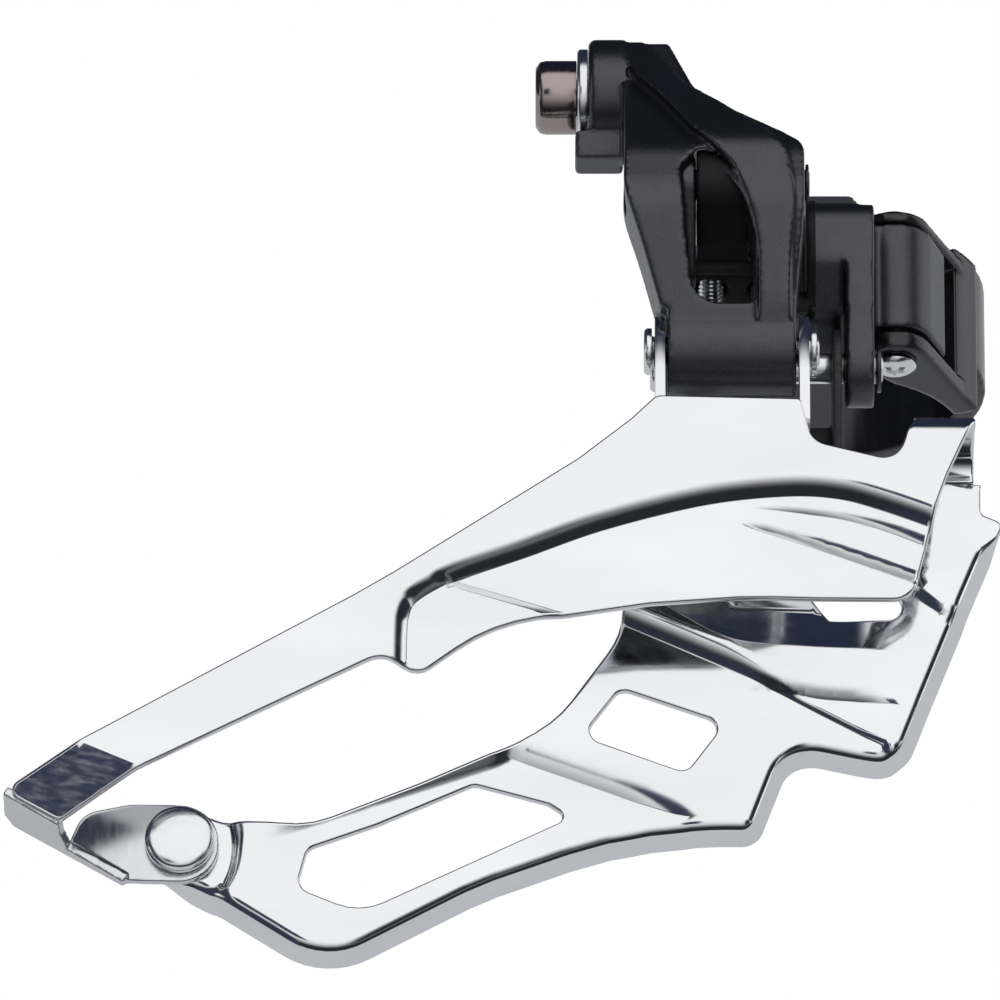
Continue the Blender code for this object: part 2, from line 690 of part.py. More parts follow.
def make_clamp_body():
    arc = sector(TUBE_R - 0.9, SADDLE_R, 50.0, SPLIT_DEG - 1.2, 30)
    saddle = prism("clamp_body", arc, -7.2, CLAMP_TOP, "z")
    arc = sector(TUBE_R - 0.7, SADDLE_R + 0.6, 50.5, 122.0, 12)
    skirt = prism("skirt", arc, SADDLE_LOW, CLAMP_TOP, "z")
    hinge = turned("hinge", [(-9.4, 4.2), (3.4, 4.2)], (HINGE[0], HINGE[1], 0.0), "z", 24)
    panel = prism("panel", sector(16.4, 20.4, 48.0, 74.0, 5), -9.4, 3.4, "z")
    join(saddle, skirt, hinge, panel)
    # hood over the linkage and the two lugs of the inner link's pivot
    hood = [(15.1, -11.9, 0.0), (16.0, 7.1, 3.0), (22.5, 7.6, 4.0), (29.6, 2.6, 4.0), (30.0, -4.0, 2.0),
            (26.0, -9.0, 3.0), (20.4, -11.9, 0.0)]
    join(saddle, prism("hood", rounded(hood), -2.15, 5.5))
    block = [(15.0, -11.8, 0.0), (15.0, -4.6, 0.0), (22.0, -4.6, 1.5), (27.0, -6.6, 1.5), (26.6, -9.6, 1.0),
             (20.4, -9.9, 1.0), (20.0, -11.8, 0.0)]
    join(saddle, prism("block", rounded(block), -17.6, -1.8))
    around = [Vector(P2) + polar(4.4, 15 * k) for k in range(24)]
    rear = hull(around + [Vector(p) for p in ((18.6, -8.0), (28.8, -8.0))])
    front = hull(around + [Vector(p) for p in ((18.4, -6.0), (30.0, -4.0))])
    join(saddle, prism("lug", rear, -18.1, -15.8), prism("lug", front, 2.2, 5.4))
    brace = [Vector(p) for p in ((8.0, -2.0), (16.0, -4.7), (25.8, -7.2), (17.3, -9.7))]
    join(saddle, prism("brace", brace, -17.9, -15.7))
    around = [Vector(P1) + polar(3.9, 15 * k) for k in range(24)]
    web = hull(around + [Vector((24.0, -7.2)), Vector((26.4, -9.4))])
    join(saddle, prism("web", web, *KNUCKLE_X))
    shelf = [(24.0, -9.3), (34.2, -8.6), (34.2, -6.4), (24.0, -6.9)]
    join(saddle, prism("shelf", [Vector(p) for p in shelf], -16.2, -3.6))
    # lug for the clamp bolt
    split = SPLIT_DEG - 1.2
    toward = polar(1.0, split)
    side_way = polar(1.0, split - 90.0)
    root = toward * (TUBE_R + 0.6)
    tip = toward * LUG_OUT
    ring = [root, tip, tip + side_way * 4.6, root + side_way * 4.6]
    join(saddle, prism("ear", [Vector(p) for p in ring], -5.6, 5.6, "z"))
    tube = turned("tube", [(-30.0, TUBE_R), (30.0, TUBE_R)], (0.0, 0.0, 0.0), "z", 72)
    bores = [tube]
    bores.append(turned("bore", [(-25.0, PIN_R + GAP), (8.0, PIN_R + GAP)], (0.0, *P1), count=20))
    bores.append(turned("bore", [(-25.0, PIN_R + GAP), (8.0, PIN_R + GAP)], (0.0, *P2), count=20))
    profile = [(-14.0, HINGE_PIN_R + GAP), (9.0, HINGE_PIN_R + GAP)]
    bores.append(turned("bore", profile, (*HINGE, 0.0), "z", 20))
    for x in SCREW_X.values():
        seat = SCREW_TOP - 2.1
        profile = [(-14.0, SCREW_R + 0.35), (seat, SCREW_R + 0.35), (seat, 2.7), (4.0, 2.7)]
        bores.append(turned("bore", profile, (x, SCREW_OUT, 0.0), "z", 20))
    for low, high in ((-15.0, -9.45), (3.45, 12.0)):
        bores.append(prism("relief", sector(TUBE_R - 3.0, 29.0, 15.0, 82.0, 8), low, high, "z"))
    bores.append(clamp_bore("bore", CLAMP_BOLT_R + GAP + 0.1))
    cut(saddle, *bores)
    return finish(saddle, BLACK, "clamp_body")


def clamp_axis():
    """Middle of the clamp bolt's hole and the direction from its head to its nut, as (x, out)."""
    return polar(LUG_OUT - 4.2, SPLIT_DEG), polar(1.0, SPLIT_DEG - 90.0)


def slanted(name, profile, count=24):
    """A turned solid about the clamp bolt's axis, along measured from the split towards the nut."""
    middle, along = clamp_axis()
    item = turned(name, profile, (0.0, 0.0, 0.0), "x", count)
    for vertex in item.data.vertices:
        x, y, z = vertex.co
        across = Vector((along.y, -along.x))
        flat = middle * MM + along * x + across * (-y)
        vertex.co = (flat.x, -flat.y, z)
    fix_winding(item)
    return item


def clamp_bore(name, radius):
    return slanted(name, [(-16.0, radius), (16.0, radius)], 20)


# Hinged band

BAND_START = 38.0


def make_clamp_band():
    arc = sector(TUBE_R - 0.9, BAND_R, -SPLIT_LEFT + 1.2, BAND_START, 30)
    band = prism("clamp_band", arc, BAND_LOW, 6.6, "z")
    post = prism("post", sector(TUBE_R - 0.7, BAND_R + 0.4, 22.0, BAND_START, 4), -11.9, 6.6, "z")
    join(band, post)
    for low, high in ((3.75, 5.4), (-11.9, -9.75)):
        around = [Vector(HINGE) + polar(3.9, 15 * k) for k in range(24)]
        roots = [polar(TUBE_R - 0.5, 34.0), polar(BAND_R + 0.3, 30.0), polar(TUBE_R - 0.5, 30.0)]
        arm = hull(around + roots)
        join(band, prism("ear", arm, low, high, "z"))
    split = SPLIT_DEG + 1.2
    toward = polar(1.0, split)
    side_way = polar(1.0, split + 90.0)
    root = toward * (TUBE_R + 0.6)
    tip = toward * LUG_OUT
    ring = [root, root + side_way * 4.6, tip + side_way * 4.6, tip]
    join(band, prism("lug", [Vector(p) for p in ring], -5.6, 5.6, "z"))
    tube = turned("tube", [(-30.0, TUBE_R), (30.0, TUBE_R)], (0.0, 0.0, 0.0), "z", 72)
    pin = turned("bore", [(-14.0, HINGE_PIN_R + GAP), (9.0, HINGE_PIN_R + GAP)], (*HINGE, 0.0), "z", 20)
    cut(band, tube, pin, clamp_bore("bore", CLAMP_BOLT_R + GAP + 0.1))
    finish(band, GLOSS, "clamp_band")
    set_pivot(band, world(*HINGE, 0.0))
    return band


SPLIT_LEFT = 360.0 - SPLIT_DEG


# Pins, screws, spring


def headed_pin(name, pivot, low, high, head, head_r, material=ZINC):
    """A pin with a head at its rear end and a peened front end."""
    profile = [(low - head, head_r - 0.3), (low - head + 0.3, head_r), (low, head_r), (low, PIN_R),
               (high - 0.3, PIN_R), (high, PIN_R - 0.3)]
    item = turned(name, profile, (0.0, *pivot), count=20)
    finish(item, material, name)
    set_pivot(item, world(0.5 * (low + high), *pivot))
    return item


def clip(name, pivot, low, high, outer_r, inner_r):
    """A flat ring round the end of a pin."""
    item = turned(name, [(low, outer_r), (high, outer_r)], (0.0, *pivot), count=20)
    cut(item, turned("bore", [(low - 1, inner_r), (high + 1, inner_r)], (0.0, *pivot), count=20))
    finish(item, ZINC, name)
    set_pivot(item, world(0.5 * (low + high), *pivot))
    return item


def make_pins():
    headed_pin("outer_link_cage_pin", Q1, -19.4, -0.9, 0.9, 2.6)
    clip("cage_pin_clip", Q1, -1.8, -1.2, 2.9, PIN_R + GAP)
    headed_pin("outer_link_body_pin", P1, -18.0, -1.2, 0.8, 2.6)
    clip("body_pin_clip", P1, -2.1, -1.5, 2.9, PIN_R + GAP)
    headed_pin("inner_link_body_pin", P2, -18.7, 6.5, 0.8, 2.6)
    clip("inner_pin_clip", P2, 5.7, 6.3, 2.9, PIN_R + GAP)
    headed_pin("inner_link_cage_pin", Q2, -15.7, 3.0, 0.8, 2.6)
    clip("cage_inner_pin_clip", Q2, 2.1, 2.7, 2.9, PIN_R + GAP)
    pin = turned("band_hinge_pin", [(-12.9, 1.8), (-12.5, 2.4), (-12.2, 2.4), (-12.2, HINGE_PIN_R),
                                    (5.7, HINGE_PIN_R), (5.7, 2.4), (6.2, 2.2)], (*HINGE, 0.0), "z", 20)
    finish(pin, ZINC, "band_hinge_pin")
    face = TAB_FACE + 0.3
    back = inner_face(*RIVET) - SHEET - 0.3
    profile = [(back - 1.1, 2.2), (back - 0.8, 2.9), (back, 3.1), (back, 1.55), (face, 1.55), (face, 3.8),
               (face + 0.7, 3.75), (face + 1.3, 3.2), (face + 1.65, 2.2), (face + 1.8, 0.0)]
    rivet = turned("tail_rivet", profile, (RIVET[0], 0.0, RIVET[1]), "y", 28)
    finish(rivet, ZINC, "tail_rivet")


def make_limit_screws():
    for kind, x in SCREW_X.items():
        profile = [(-9.4, 1.0), (-8.9, SCREW_R), (-1.8, SCREW_R), (-1.8, 2.35), (-0.4, 2.35), (0.0, 1.9)]
        screw = turned(f"{kind}_limit_screw", profile, (x, SCREW_OUT, SCREW_TOP), "z", 20)
        low, high = SCREW_OUT - 0.3, SCREW_OUT + 0.3
        slot = [Vector(p) for p in ((x - 1.5, low), (x + 1.5, low), (x + 1.5, high), (x - 1.5, high))]
        cut(screw, prism("slot", slot, SCREW_TOP - 0.9, 1.0, "z"))
        finish(screw, ZINC, f"{kind}_limit_screw")
        set_pivot(screw, world(x, SCREW_OUT, SCREW_TOP - 1.8))


def make_anchor():
    washer_x = BOSS_X[0] - GAP
    washer = turned("cable_clamp_washer", [(washer_x - 1.2, 5.2), (washer_x - 0.9, 5.45), (washer_x, 5.45)],
                    (0.0, *ANCHOR), count=28)
    cut(washer, turned("bore", [(-40.0, 2.3), (-20.0, 2.3)], (0.0, *ANCHOR), count=20))
    finish(washer, ZINC, "cable_clamp_washer")
    head = washer_x - 1.2 - GAP
    profile = [(head - 4.6, 3.3), (head - 4.1, 4.0), (head - 3.4, 4.15), (head, 4.15), (head, 2.0),
               (-20.4, 2.0)]
    bolt = turned("cable_anchor_bolt", profile, (0.0, *ANCHOR), count=28)
    socket = prism("socket", [Vector(ANCHOR) + polar(2.3, 60 * k) for k in range(6)], head - 6.0, head - 2.2)
    cut(bolt, socket)
    finish(bolt, NICKEL, "cable_anchor_bolt")
    set_pivot(bolt, world(head, *ANCHOR))


def make_clamp_bolt():
    profile = [(-10.6, 3.7), (-10.1, 4.2), (-6.6, 4.2), (-6.6, CLAMP_BOLT_R), (9.0, CLAMP_BOLT_R),
               (9.4, 2.1)]
    bolt = slanted("clamp_bolt", profile)
    finish(bolt, ZINC, "clamp_bolt")
    middle, _ = clamp_axis()
    set_pivot(bolt, world(middle.x, middle.y, 0.0))
    washer = slanted("clamp_washer", [(-6.3, 4.8), (-5.4, 4.8)])
    cut(washer, clamp_bore("bore", CLAMP_BOLT_R + GAP))
    finish(washer, ZINC, "clamp_washer")
    set_pivot(washer, world(*HINGE, 0.0))
    nut = slanted("clamp_nut", [(5.5, 4.1), (8.4, 4.1)], 6)
    cut(nut, clamp_bore("bore", CLAMP_BOLT_R + GAP))
    finish(nut, ZINC, "clamp_nut")


SPRING_R = 3.9
SPRING_WIRE_R = 0.6


def make_spring():
    """A torsion spring round the inner link's body pivot, one leg on each of the two links' parts."""
    turns, low, high = 3.6, -11.6, -4.6
    path = []
    steps = round(turns * 14)
    for k in range(steps + 1):
        angle = math.radians(250.0) + 2 * math.pi * k / 14
        spot = Vector(P2) + Vector((math.cos(angle), math.sin(angle))) * SPRING_R
        path.append(Vector((low + (high - low) * k / steps, spot.x, spot.y)))
    first = path[0] + Vector((0.0, -0.24, -0.97)) * 7.5
    path.insert(0, first)
    last = path[-1] + Vector((0.0, -0.35, 0.94)) * 1.2
    path.append(last)
    verts, faces = [], []
    sides = 7
    for i, here in enumerate(path):
        ahead = path[min(i + 1, len(path) - 1)] - path[max(i - 1, 0)]
        ahead.normalize()
        up = Vector((1.0, 0.0, 0.0)) - ahead * ahead.x
        up.normalize()
        over = ahead.cross(up)
        for k in range(sides):
            angle = 2 * math.pi * k / sides
            verts.append(tuple(here + (up * math.cos(angle) + over * math.sin(angle)) * SPRING_WIRE_R))
    for i in range(len(path) - 1):
        for k in range(sides):
            a, b = i * sides + k, i * sides + (k + 1) % sides
            faces.append([a, b, b + sides, a + sides])
    faces.append(list(reversed(range(sides))))
    faces.append([len(verts) - sides + k for k in range(sides)])
    item = make_object("return_spring", verts, faces, None)
    weld(item)
    finish(item, ZINC, "return_spring")


def main():
    clear_scene()
    make_cage()
    make_outer_link()
    make_inner_link()
    make_clamp_body()
    make_clamp_band()
    make_pins()
    make_limit_screws()
    make_anchor()
    make_clamp_bolt()
    make_spring()


main()
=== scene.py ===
"""Studio scene of a band-on front derailleur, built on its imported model."""

import json
import math

import bmesh
import bpy
import numpy as np
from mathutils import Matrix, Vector
from mathutils.geometry import delaunay_2d_cdt
from mathutils.kdtree import KDTree

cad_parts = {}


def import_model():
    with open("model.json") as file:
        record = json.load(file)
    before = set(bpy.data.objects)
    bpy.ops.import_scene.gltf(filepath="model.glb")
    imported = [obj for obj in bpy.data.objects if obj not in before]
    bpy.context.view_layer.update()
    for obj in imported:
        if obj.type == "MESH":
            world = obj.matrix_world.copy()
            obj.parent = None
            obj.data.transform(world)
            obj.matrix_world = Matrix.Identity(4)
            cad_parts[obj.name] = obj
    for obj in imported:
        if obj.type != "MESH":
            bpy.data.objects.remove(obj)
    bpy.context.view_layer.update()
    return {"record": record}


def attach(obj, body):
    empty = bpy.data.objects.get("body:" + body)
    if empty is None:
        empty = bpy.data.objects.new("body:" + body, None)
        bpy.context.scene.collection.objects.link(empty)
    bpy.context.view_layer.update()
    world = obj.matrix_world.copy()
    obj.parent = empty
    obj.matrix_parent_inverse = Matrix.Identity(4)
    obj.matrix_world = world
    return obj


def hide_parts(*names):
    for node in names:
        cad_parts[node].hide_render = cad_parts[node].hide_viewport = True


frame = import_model()
MM = 0.001
BODY_OF = {name: body for body, names in frame["record"]["behaviour"]["bodies"].items() for name in names}


# Camera and surroundings


VIEW_UP = (0.0, -0.438, 0.899)
# metres to the right, up and towards the camera
VIEW_CENTRE = (-0.0362, -0.0175, 0.045)
VIEW_WIDTH = 0.1104
VIEW_DISTANCE = 2.0
SENSOR = 36.0


def make_camera():
    """Looks inboard and up from below, level with the X axis."""
    right = Vector((1.0, 0.0, 0.0))
    up = Vector(VIEW_UP).normalized()
    toward = right.cross(up).normalized()
    target = right * VIEW_CENTRE[0] + up * VIEW_CENTRE[1] + toward * VIEW_CENTRE[2]
    data = bpy.data.cameras.new("camera")
    data.sensor_width = SENSOR
    data.lens = SENSOR * VIEW_DISTANCE / VIEW_WIDTH
    data.clip_start = 0.01
    data.clip_end = 20.0
    camera = bpy.data.objects.new("camera", data)
    bpy.context.scene.collection.objects.link(camera)
    camera.location = target + toward * VIEW_DISTANCE
    camera.rotation_euler = (-toward).to_track_quat("-Z", "Y").to_euler()
    bpy.context.scene.camera = camera


def node(tree, kind, **inputs):
    item = tree.nodes.new(kind)
    for key, value in inputs.items():
        item.inputs[key.replace("_", " ")].default_value = value
    return item


def math_node(tree, operation, *values):
    item = tree.nodes.new("ShaderNodeMath")
    item.operation = operation
    for i, value in enumerate(values):
        if isinstance(value, (int, float)):
            item.inputs[i].default_value = value
        else:
            tree.links.new(value, item.inputs[i])
    return item.outputs[0]


def step(tree, value, low, high):
    """0 below low, 1 above high, smooth between."""
    item = tree.nodes.new("ShaderNodeMapRange")
    item.interpolation_type = "SMOOTHSTEP"
    tree.links.new(value, item.inputs["Value"])
    item.inputs["From Min"].default_value = low
    item.inputs["From Max"].default_value = high
    return item.outputs["Result"]


def falling(tree, value, low, high):
    """1 below low, 0 above high, smooth between."""
    return math_node(tree, "SUBTRACT", 1.0, step(tree, value, low, high))


def product(tree, first, second):
    return math_node(tree, "MULTIPLY", first, second)


def band(tree, value, low, high, soft):
    """1 from low to high and 0 outside, with soft edges."""
    rise = step(tree, value, low - soft, low + soft)
    fall = step(tree, value, high - soft, high + soft)
    return math_node(tree, "SUBTRACT", rise, fall)


def make_world():
    """White surroundings with dark cards above, below, to both sides and in one corner, and grey behind."""
    world = bpy.data.worlds.new("studio")
    bpy.context.scene.world = world
    world.use_nodes = True
    tree = world.node_tree
    tree.nodes.clear()
    coord = tree.nodes.new("ShaderNodeTexCoord")
    parts = tree.nodes.new("ShaderNodeSeparateXYZ")
    tree.links.new(coord.outputs["Generated"], parts.inputs[0])
    x, y, z = parts.outputs
    # turn about X in degrees: 0 is straight in front, 90 overhead, -90 below
    pitch = math_node(tree, "ARCTAN2", z, product(tree, y, -1.0))
    pitch = math_node(tree, "DEGREES", pitch)
    side = math_node(tree, "DEGREES", math_node(tree, "ARCSINE", x))
    back = step(tree, pitch, 134.0, 152.0)
    ceiling = math_node(tree, "SUBTRACT", step(tree, pitch, 52.0, 66.0), back)
    over = product(tree, ceiling, falling(tree, side, 38.0, 50.0))
    under = product(tree, step(tree, pitch, -104.0, -88.0), falling(tree, pitch, -66.0, 2.0))
    behind = math_node(tree, "MAXIMUM", back, falling(tree, pitch, -104.0, -92.0))
    left = band(tree, side, -64.0, -28.0, 4.0)
    high = product(tree, band(tree, side, 40.0, 84.0, 9.0), band(tree, pitch, -12.0, 60.0, 9.0))
    low = product(tree, band(tree, side, 22.0, 60.0, 9.0), band(tree, pitch, -46.0, 0.0, 9.0))
    right = math_node(tree, "MAXIMUM", high, low)
    corner = product(tree, band(tree, pitch, -18.0, 2.0, 2.5), band(tree, side, -23.0, -8.0, 2.0))
    level = None
    for share, colour in ((under, (0.022, 0.023, 0.028)), (over, (0.020, 0.027, 0.050)),
                          (left, (0.035, 0.042, 0.065)), (right, (0.022, 0.025, 0.034)),
                          (corner, (0.035, 0.045, 0.080)), (behind, (0.54, 0.55, 0.57))):
        mix = tree.nodes.new("ShaderNodeMix")
        mix.data_type = "RGBA"
        tree.links.new(share, mix.inputs["Factor"])
        if level is None:
            mix.inputs["A"].default_value = (1.0, 1.0, 1.0, 1.0)
        else:
            tree.links.new(level, mix.inputs["A"])
        mix.inputs["B"].default_value = (*colour, 1.0)
        level = mix.outputs["Result"]
    lit = node(tree, "ShaderNodeBackground", Strength=1.0)
    tree.links.new(level, lit.inputs["Color"])
    seen = node(tree, "ShaderNodeBackground", Strength=1.0)
    seen.inputs["Color"].default_value = (1.0, 1.0, 1.0, 1.0)
    path = tree.nodes.new("ShaderNodeLightPath")
    choose = tree.nodes.new("ShaderNodeMixShader")
    tree.links.new(path.outputs["Is Camera Ray"], choose.inputs[0])
    tree.links.new(lit.outputs[0], choose.inputs[1])
    tree.links.new(seen.outputs[0], choose.inputs[2])
    out = tree.nodes.new("ShaderNodeOutputWorld")
    tree.links.new(choose.outputs[0], out.inputs["Surface"])
    bpy.context.scene.view_settings.view_transform = "Standard"


def make_floor():
    mesh = bpy.data.meshes.new("floor")
    half, level = 6.0, -1.30
    corners = [(-half, -half, level), (half, -half, level), (half, half, level), (-half, half, level)]
    mesh.from_pydata(corners, [], [(0, 1, 2, 3)])
    floor = bpy.data.objects.new("floor", mesh)
    bpy.context.scene.collection.objects.link(floor)
    material = bpy.data.materials.new("floor")
    material.use_nodes = True
    shader = material.node_tree.nodes["Principled BSDF"]
    shader.inputs["Base Color"].default_value = (0.9, 0.9, 0.9, 1.0)
    shader.inputs["Roughness"].default_value = 0.7
    shader.inputs["Emission Color"].default_value = (0.9, 0.9, 0.9, 1.0)
    shader.inputs["Emission Strength"].default_value = 0.72
    mesh.materials.append(material)
    floor.visible_glossy = False


# Materials


def new_material(name, colour, metallic, roughness):
    material = bpy.data.materials.new(name)
    material.use_nodes = True
    shader = material.node_tree.nodes["Principled BSDF"]
    shader.inputs["Base Color"].default_value = (*colour, 1.0)
    shader.inputs["Metallic"].default_value = metallic
    shader.inputs["Roughness"].default_value = roughness
    return material


def noise(tree, scale, detail, stretch):
    coord = tree.nodes.new("ShaderNodeTexCoord")
    mapping = tree.nodes.new("ShaderNodeMapping")
    mapping.inputs["Scale"].default_value = stretch
    tree.links.new(coord.outputs["Object"], mapping.inputs["Vector"])
    item = node(tree, "ShaderNodeTexNoise", Scale=scale, Detail=detail)
    tree.links.new(mapping.outputs[0], item.inputs["Vector"])
    return item.outputs["Fac"]


def ranged(tree, value, low, high):
    item = tree.nodes.new("ShaderNodeMapRange")
    tree.links.new(value, item.inputs["Value"])
    item.inputs["From Min"].default_value = 0.3
    item.inputs["From Max"].default_value = 0.7
    item.inputs["To Min"].default_value = low
    item.inputs["To Max"].default_value = high
    return item.outputs["Result"]


def metal(name, colour, metallic, rough, grain, bump, stretch=(1.0, 1.0, 1.0)):
    """A metal or paint with fine variation in roughness and colour, and a slight surface grain."""
    material = new_material(name, colour, metallic, rough[0])
    tree = material.node_tree
    shader = tree.nodes["Principled BSDF"]
    value = noise(tree, grain, 4.0, stretch)
    tree.links.new(ranged(tree, value, rough[0], rough[1]), shader.inputs["Roughness"])
    tone = tree.nodes.new("ShaderNodeMix")
    tone.data_type = "RGBA"
    tree.links.new(noise(tree, grain * 0.13, 3.0, stretch), tone.inputs["Factor"])
    tone.inputs["A"].default_value = (*(c * 0.90 for c in colour), 1.0)
    tone.inputs["B"].default_value = (*(min(1.0, c * 1.08) for c in colour), 1.0)
    tree.links.new(tone.outputs["Result"], shader.inputs["Base Color"])
    relief = node(tree, "ShaderNodeBump", Strength=bump, Distance=0.00005)
    tree.links.new(value, relief.inputs["Height"])
    tree.links.new(relief.outputs[0], shader.inputs["Normal"])
    return material


CHROME = metal("chromed_steel", (0.86, 0.87, 0.89), 1.0, (0.07, 0.13), 900.0, 0.05, (0.3, 1.0, 1.0))
ZINC = metal("zinc_plate", (0.84, 0.85, 0.87), 1.0, (0.12, 0.24), 1300.0, 0.08)
BLACK = metal("satin_black", (0.088, 0.089, 0.098), 0.92, (0.26, 0.38), 4200.0, 0.30)
GLOSS = metal("gloss_black", (0.055, 0.055, 0.060), 0.85, (0.14, 0.22), 2600.0, 0.10)
STEEL = metal("bare_steel", (0.74, 0.75, 0.77), 1.0, (0.16, 0.26), 1100.0, 0.08, (1.0, 1.0, 0.2))
ROUGH = metal("rough_black", (0.035, 0.036, 0.040), 0.3, (0.38, 0.60), 1400.0, 0.9)
BRUSHED = metal("brushed_steel", (0.82, 0.83, 0.86), 1.0, (0.07, 0.20), 3200.0, 0.30, (0.12, 1.0, 0.40))
# near-black that stands in for the shade in the clamp body's recess (painted shade)
PAINTED_SHADE = metal("shaded_black", (0.014, 0.014, 0.016), 0.6, (0.45, 0.60), 4200.0, 0.30)
NICKEL = metal("dark_nickel", (0.40, 0.33, 0.32), 1.0, (0.10, 0.20), 1800.0, 0.08)


# Shape tools. Lengths are in millimetres as (x, out, z), where out is the distance outboard.


def world(x, out, z):
    return Vector((x * MM, -out * MM, z * MM))


def new_object(name, verts, faces, material=None):
    mesh = bpy.data.meshes.new(name)
    mesh.from_pydata([world(*v) for v in verts], [], faces)
    work = bmesh.new()
    work.from_mesh(mesh)
    bmesh.ops.recalc_face_normals(work, faces=work.faces)
    work.to_mesh(mesh)
    work.free()
    face_out(mesh)
    shade_smooth(mesh)
    item = bpy.data.objects.new(name, mesh)
    bpy.context.scene.collection.objects.link(item)
    if material is not None:
        mesh.materials.append(material)
    return item


def shade_smooth(mesh):
    for face in mesh.polygons:
        face.use_smooth = True


def combine(item, other, operation):
    """Applies one exact Boolean and removes the tool object."""
    change = item.modifiers.new("change", "BOOLEAN")
    change.operation = operation
    change.solver = "EXACT"
    change.object = other
    apply_modifiers(item)
    bpy.data.objects.remove(other, do_unlink=True)
    return item


def apply_modifiers(item):
    graph = bpy.context.evaluated_depsgraph_get()
    mesh = bpy.data.meshes.new_from_object(item.evaluated_get(graph), depsgraph=graph)
    item.modifiers.clear()
    item.data = mesh


def join(item, *others):
    for other in others:
        combine(item, other, "UNION")
    return item


def cut(item, *others):
    for other in others:
        combine(item, other, "DIFFERENCE")
    return item


def place(item, body, material=None):
    """Puts a piece under its named body and gives its finish."""
    if material is not None:
        item.data.materials.clear()
        item.data.materials.append(material)
    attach(item, body)


def rounded(corners, turn_step=8.0):
    """A closed outline with each corner (a, b, radius) replaced by an arc."""
    points = []
    count = len(corners)
    for i in range(count):
        here = Vector(corners[i][:2])
        radius = corners[i][2] if len(corners[i]) > 2 else 0.0
        before = (Vector(corners[i - 1][:2]) - here).normalized()
        after = (Vector(corners[(i + 1) % count][:2]) - here).normalized()
        turn = math.pi - before.angle(after)
        if radius <= 0.0 or turn < 0.02:
            points.append(here)
            continue
        reach = radius * math.tan(turn / 2)
        limit = 0.49 * min((Vector(corners[i - 1][:2]) - here).length,
                           (Vector(corners[(i + 1) % count][:2]) - here).length)
        reach = min(reach, limit)
        radius = reach / math.tan(turn / 2)
        middle = here + (before + after).normalized() * (radius / math.cos(turn / 2))
        start = here + before * reach - middle
        pieces = max(1, round(math.degrees(turn) / turn_step))
        sign = 1.0 if start.cross(here + after * reach - middle) > 0 else -1.0
        for k in range(pieces + 1):
            angle = sign * turn * k / pieces
            points.append(middle + Vector((start.x * math.cos(angle) - start.y * math.sin(angle),
                                           start.x * math.sin(angle) + start.y * math.cos(angle))))
    return points


def vectors(points):
    return [Vector(p) for p in points]


def divided(points, longest):
    result = []
    for i, here in enumerate(points):
        there = points[(i + 1) % len(points)]
        pieces = max(1, math.ceil((there - here).length / longest))
        for k in range(pieces):
            result.append(here.lerp(there, k / pieces))
    return result


def anticlockwise(points):
    total = sum(points[i - 1].cross(points[i]) for i in range(len(points)))
    return list(points) if total > 0 else list(reversed(points))


def normals(points):
    """Outward unit normals of a closed outline that runs anticlockwise."""
    result = []
    for i in range(len(points)):
        ahead = (points[(i + 1) % len(points)] - points[i]).normalized()
        behind = (points[i] - points[i - 1]).normalized()
        along = (ahead + behind).normalized()
        result.append(Vector((along.y, -along.x)))
    return result


def contained(outline, a, b):
    """Which of the points (a, b) lie inside an outline."""
    inside = np.zeros(len(a), bool)
    for i, here in enumerate(outline):
        there = outline[(i + 1) % len(outline)]
        if here.y == there.y:
            continue
        crosses = (here.y > b) != (there.y > b)
        inside ^= crosses & (a < here.x + (b - here.y) * (there.x - here.x) / (there.y - here.y))
    return inside


def on_sheet(outer, holes, cloud):
    """Which of the points lie inside the outline and outside its holes."""
    keep = contained(outer, cloud[:, 0], cloud[:, 1])
    for hole in holes:
        keep &= ~contained(hole, cloud[:, 0], cloud[:, 1])
    return keep


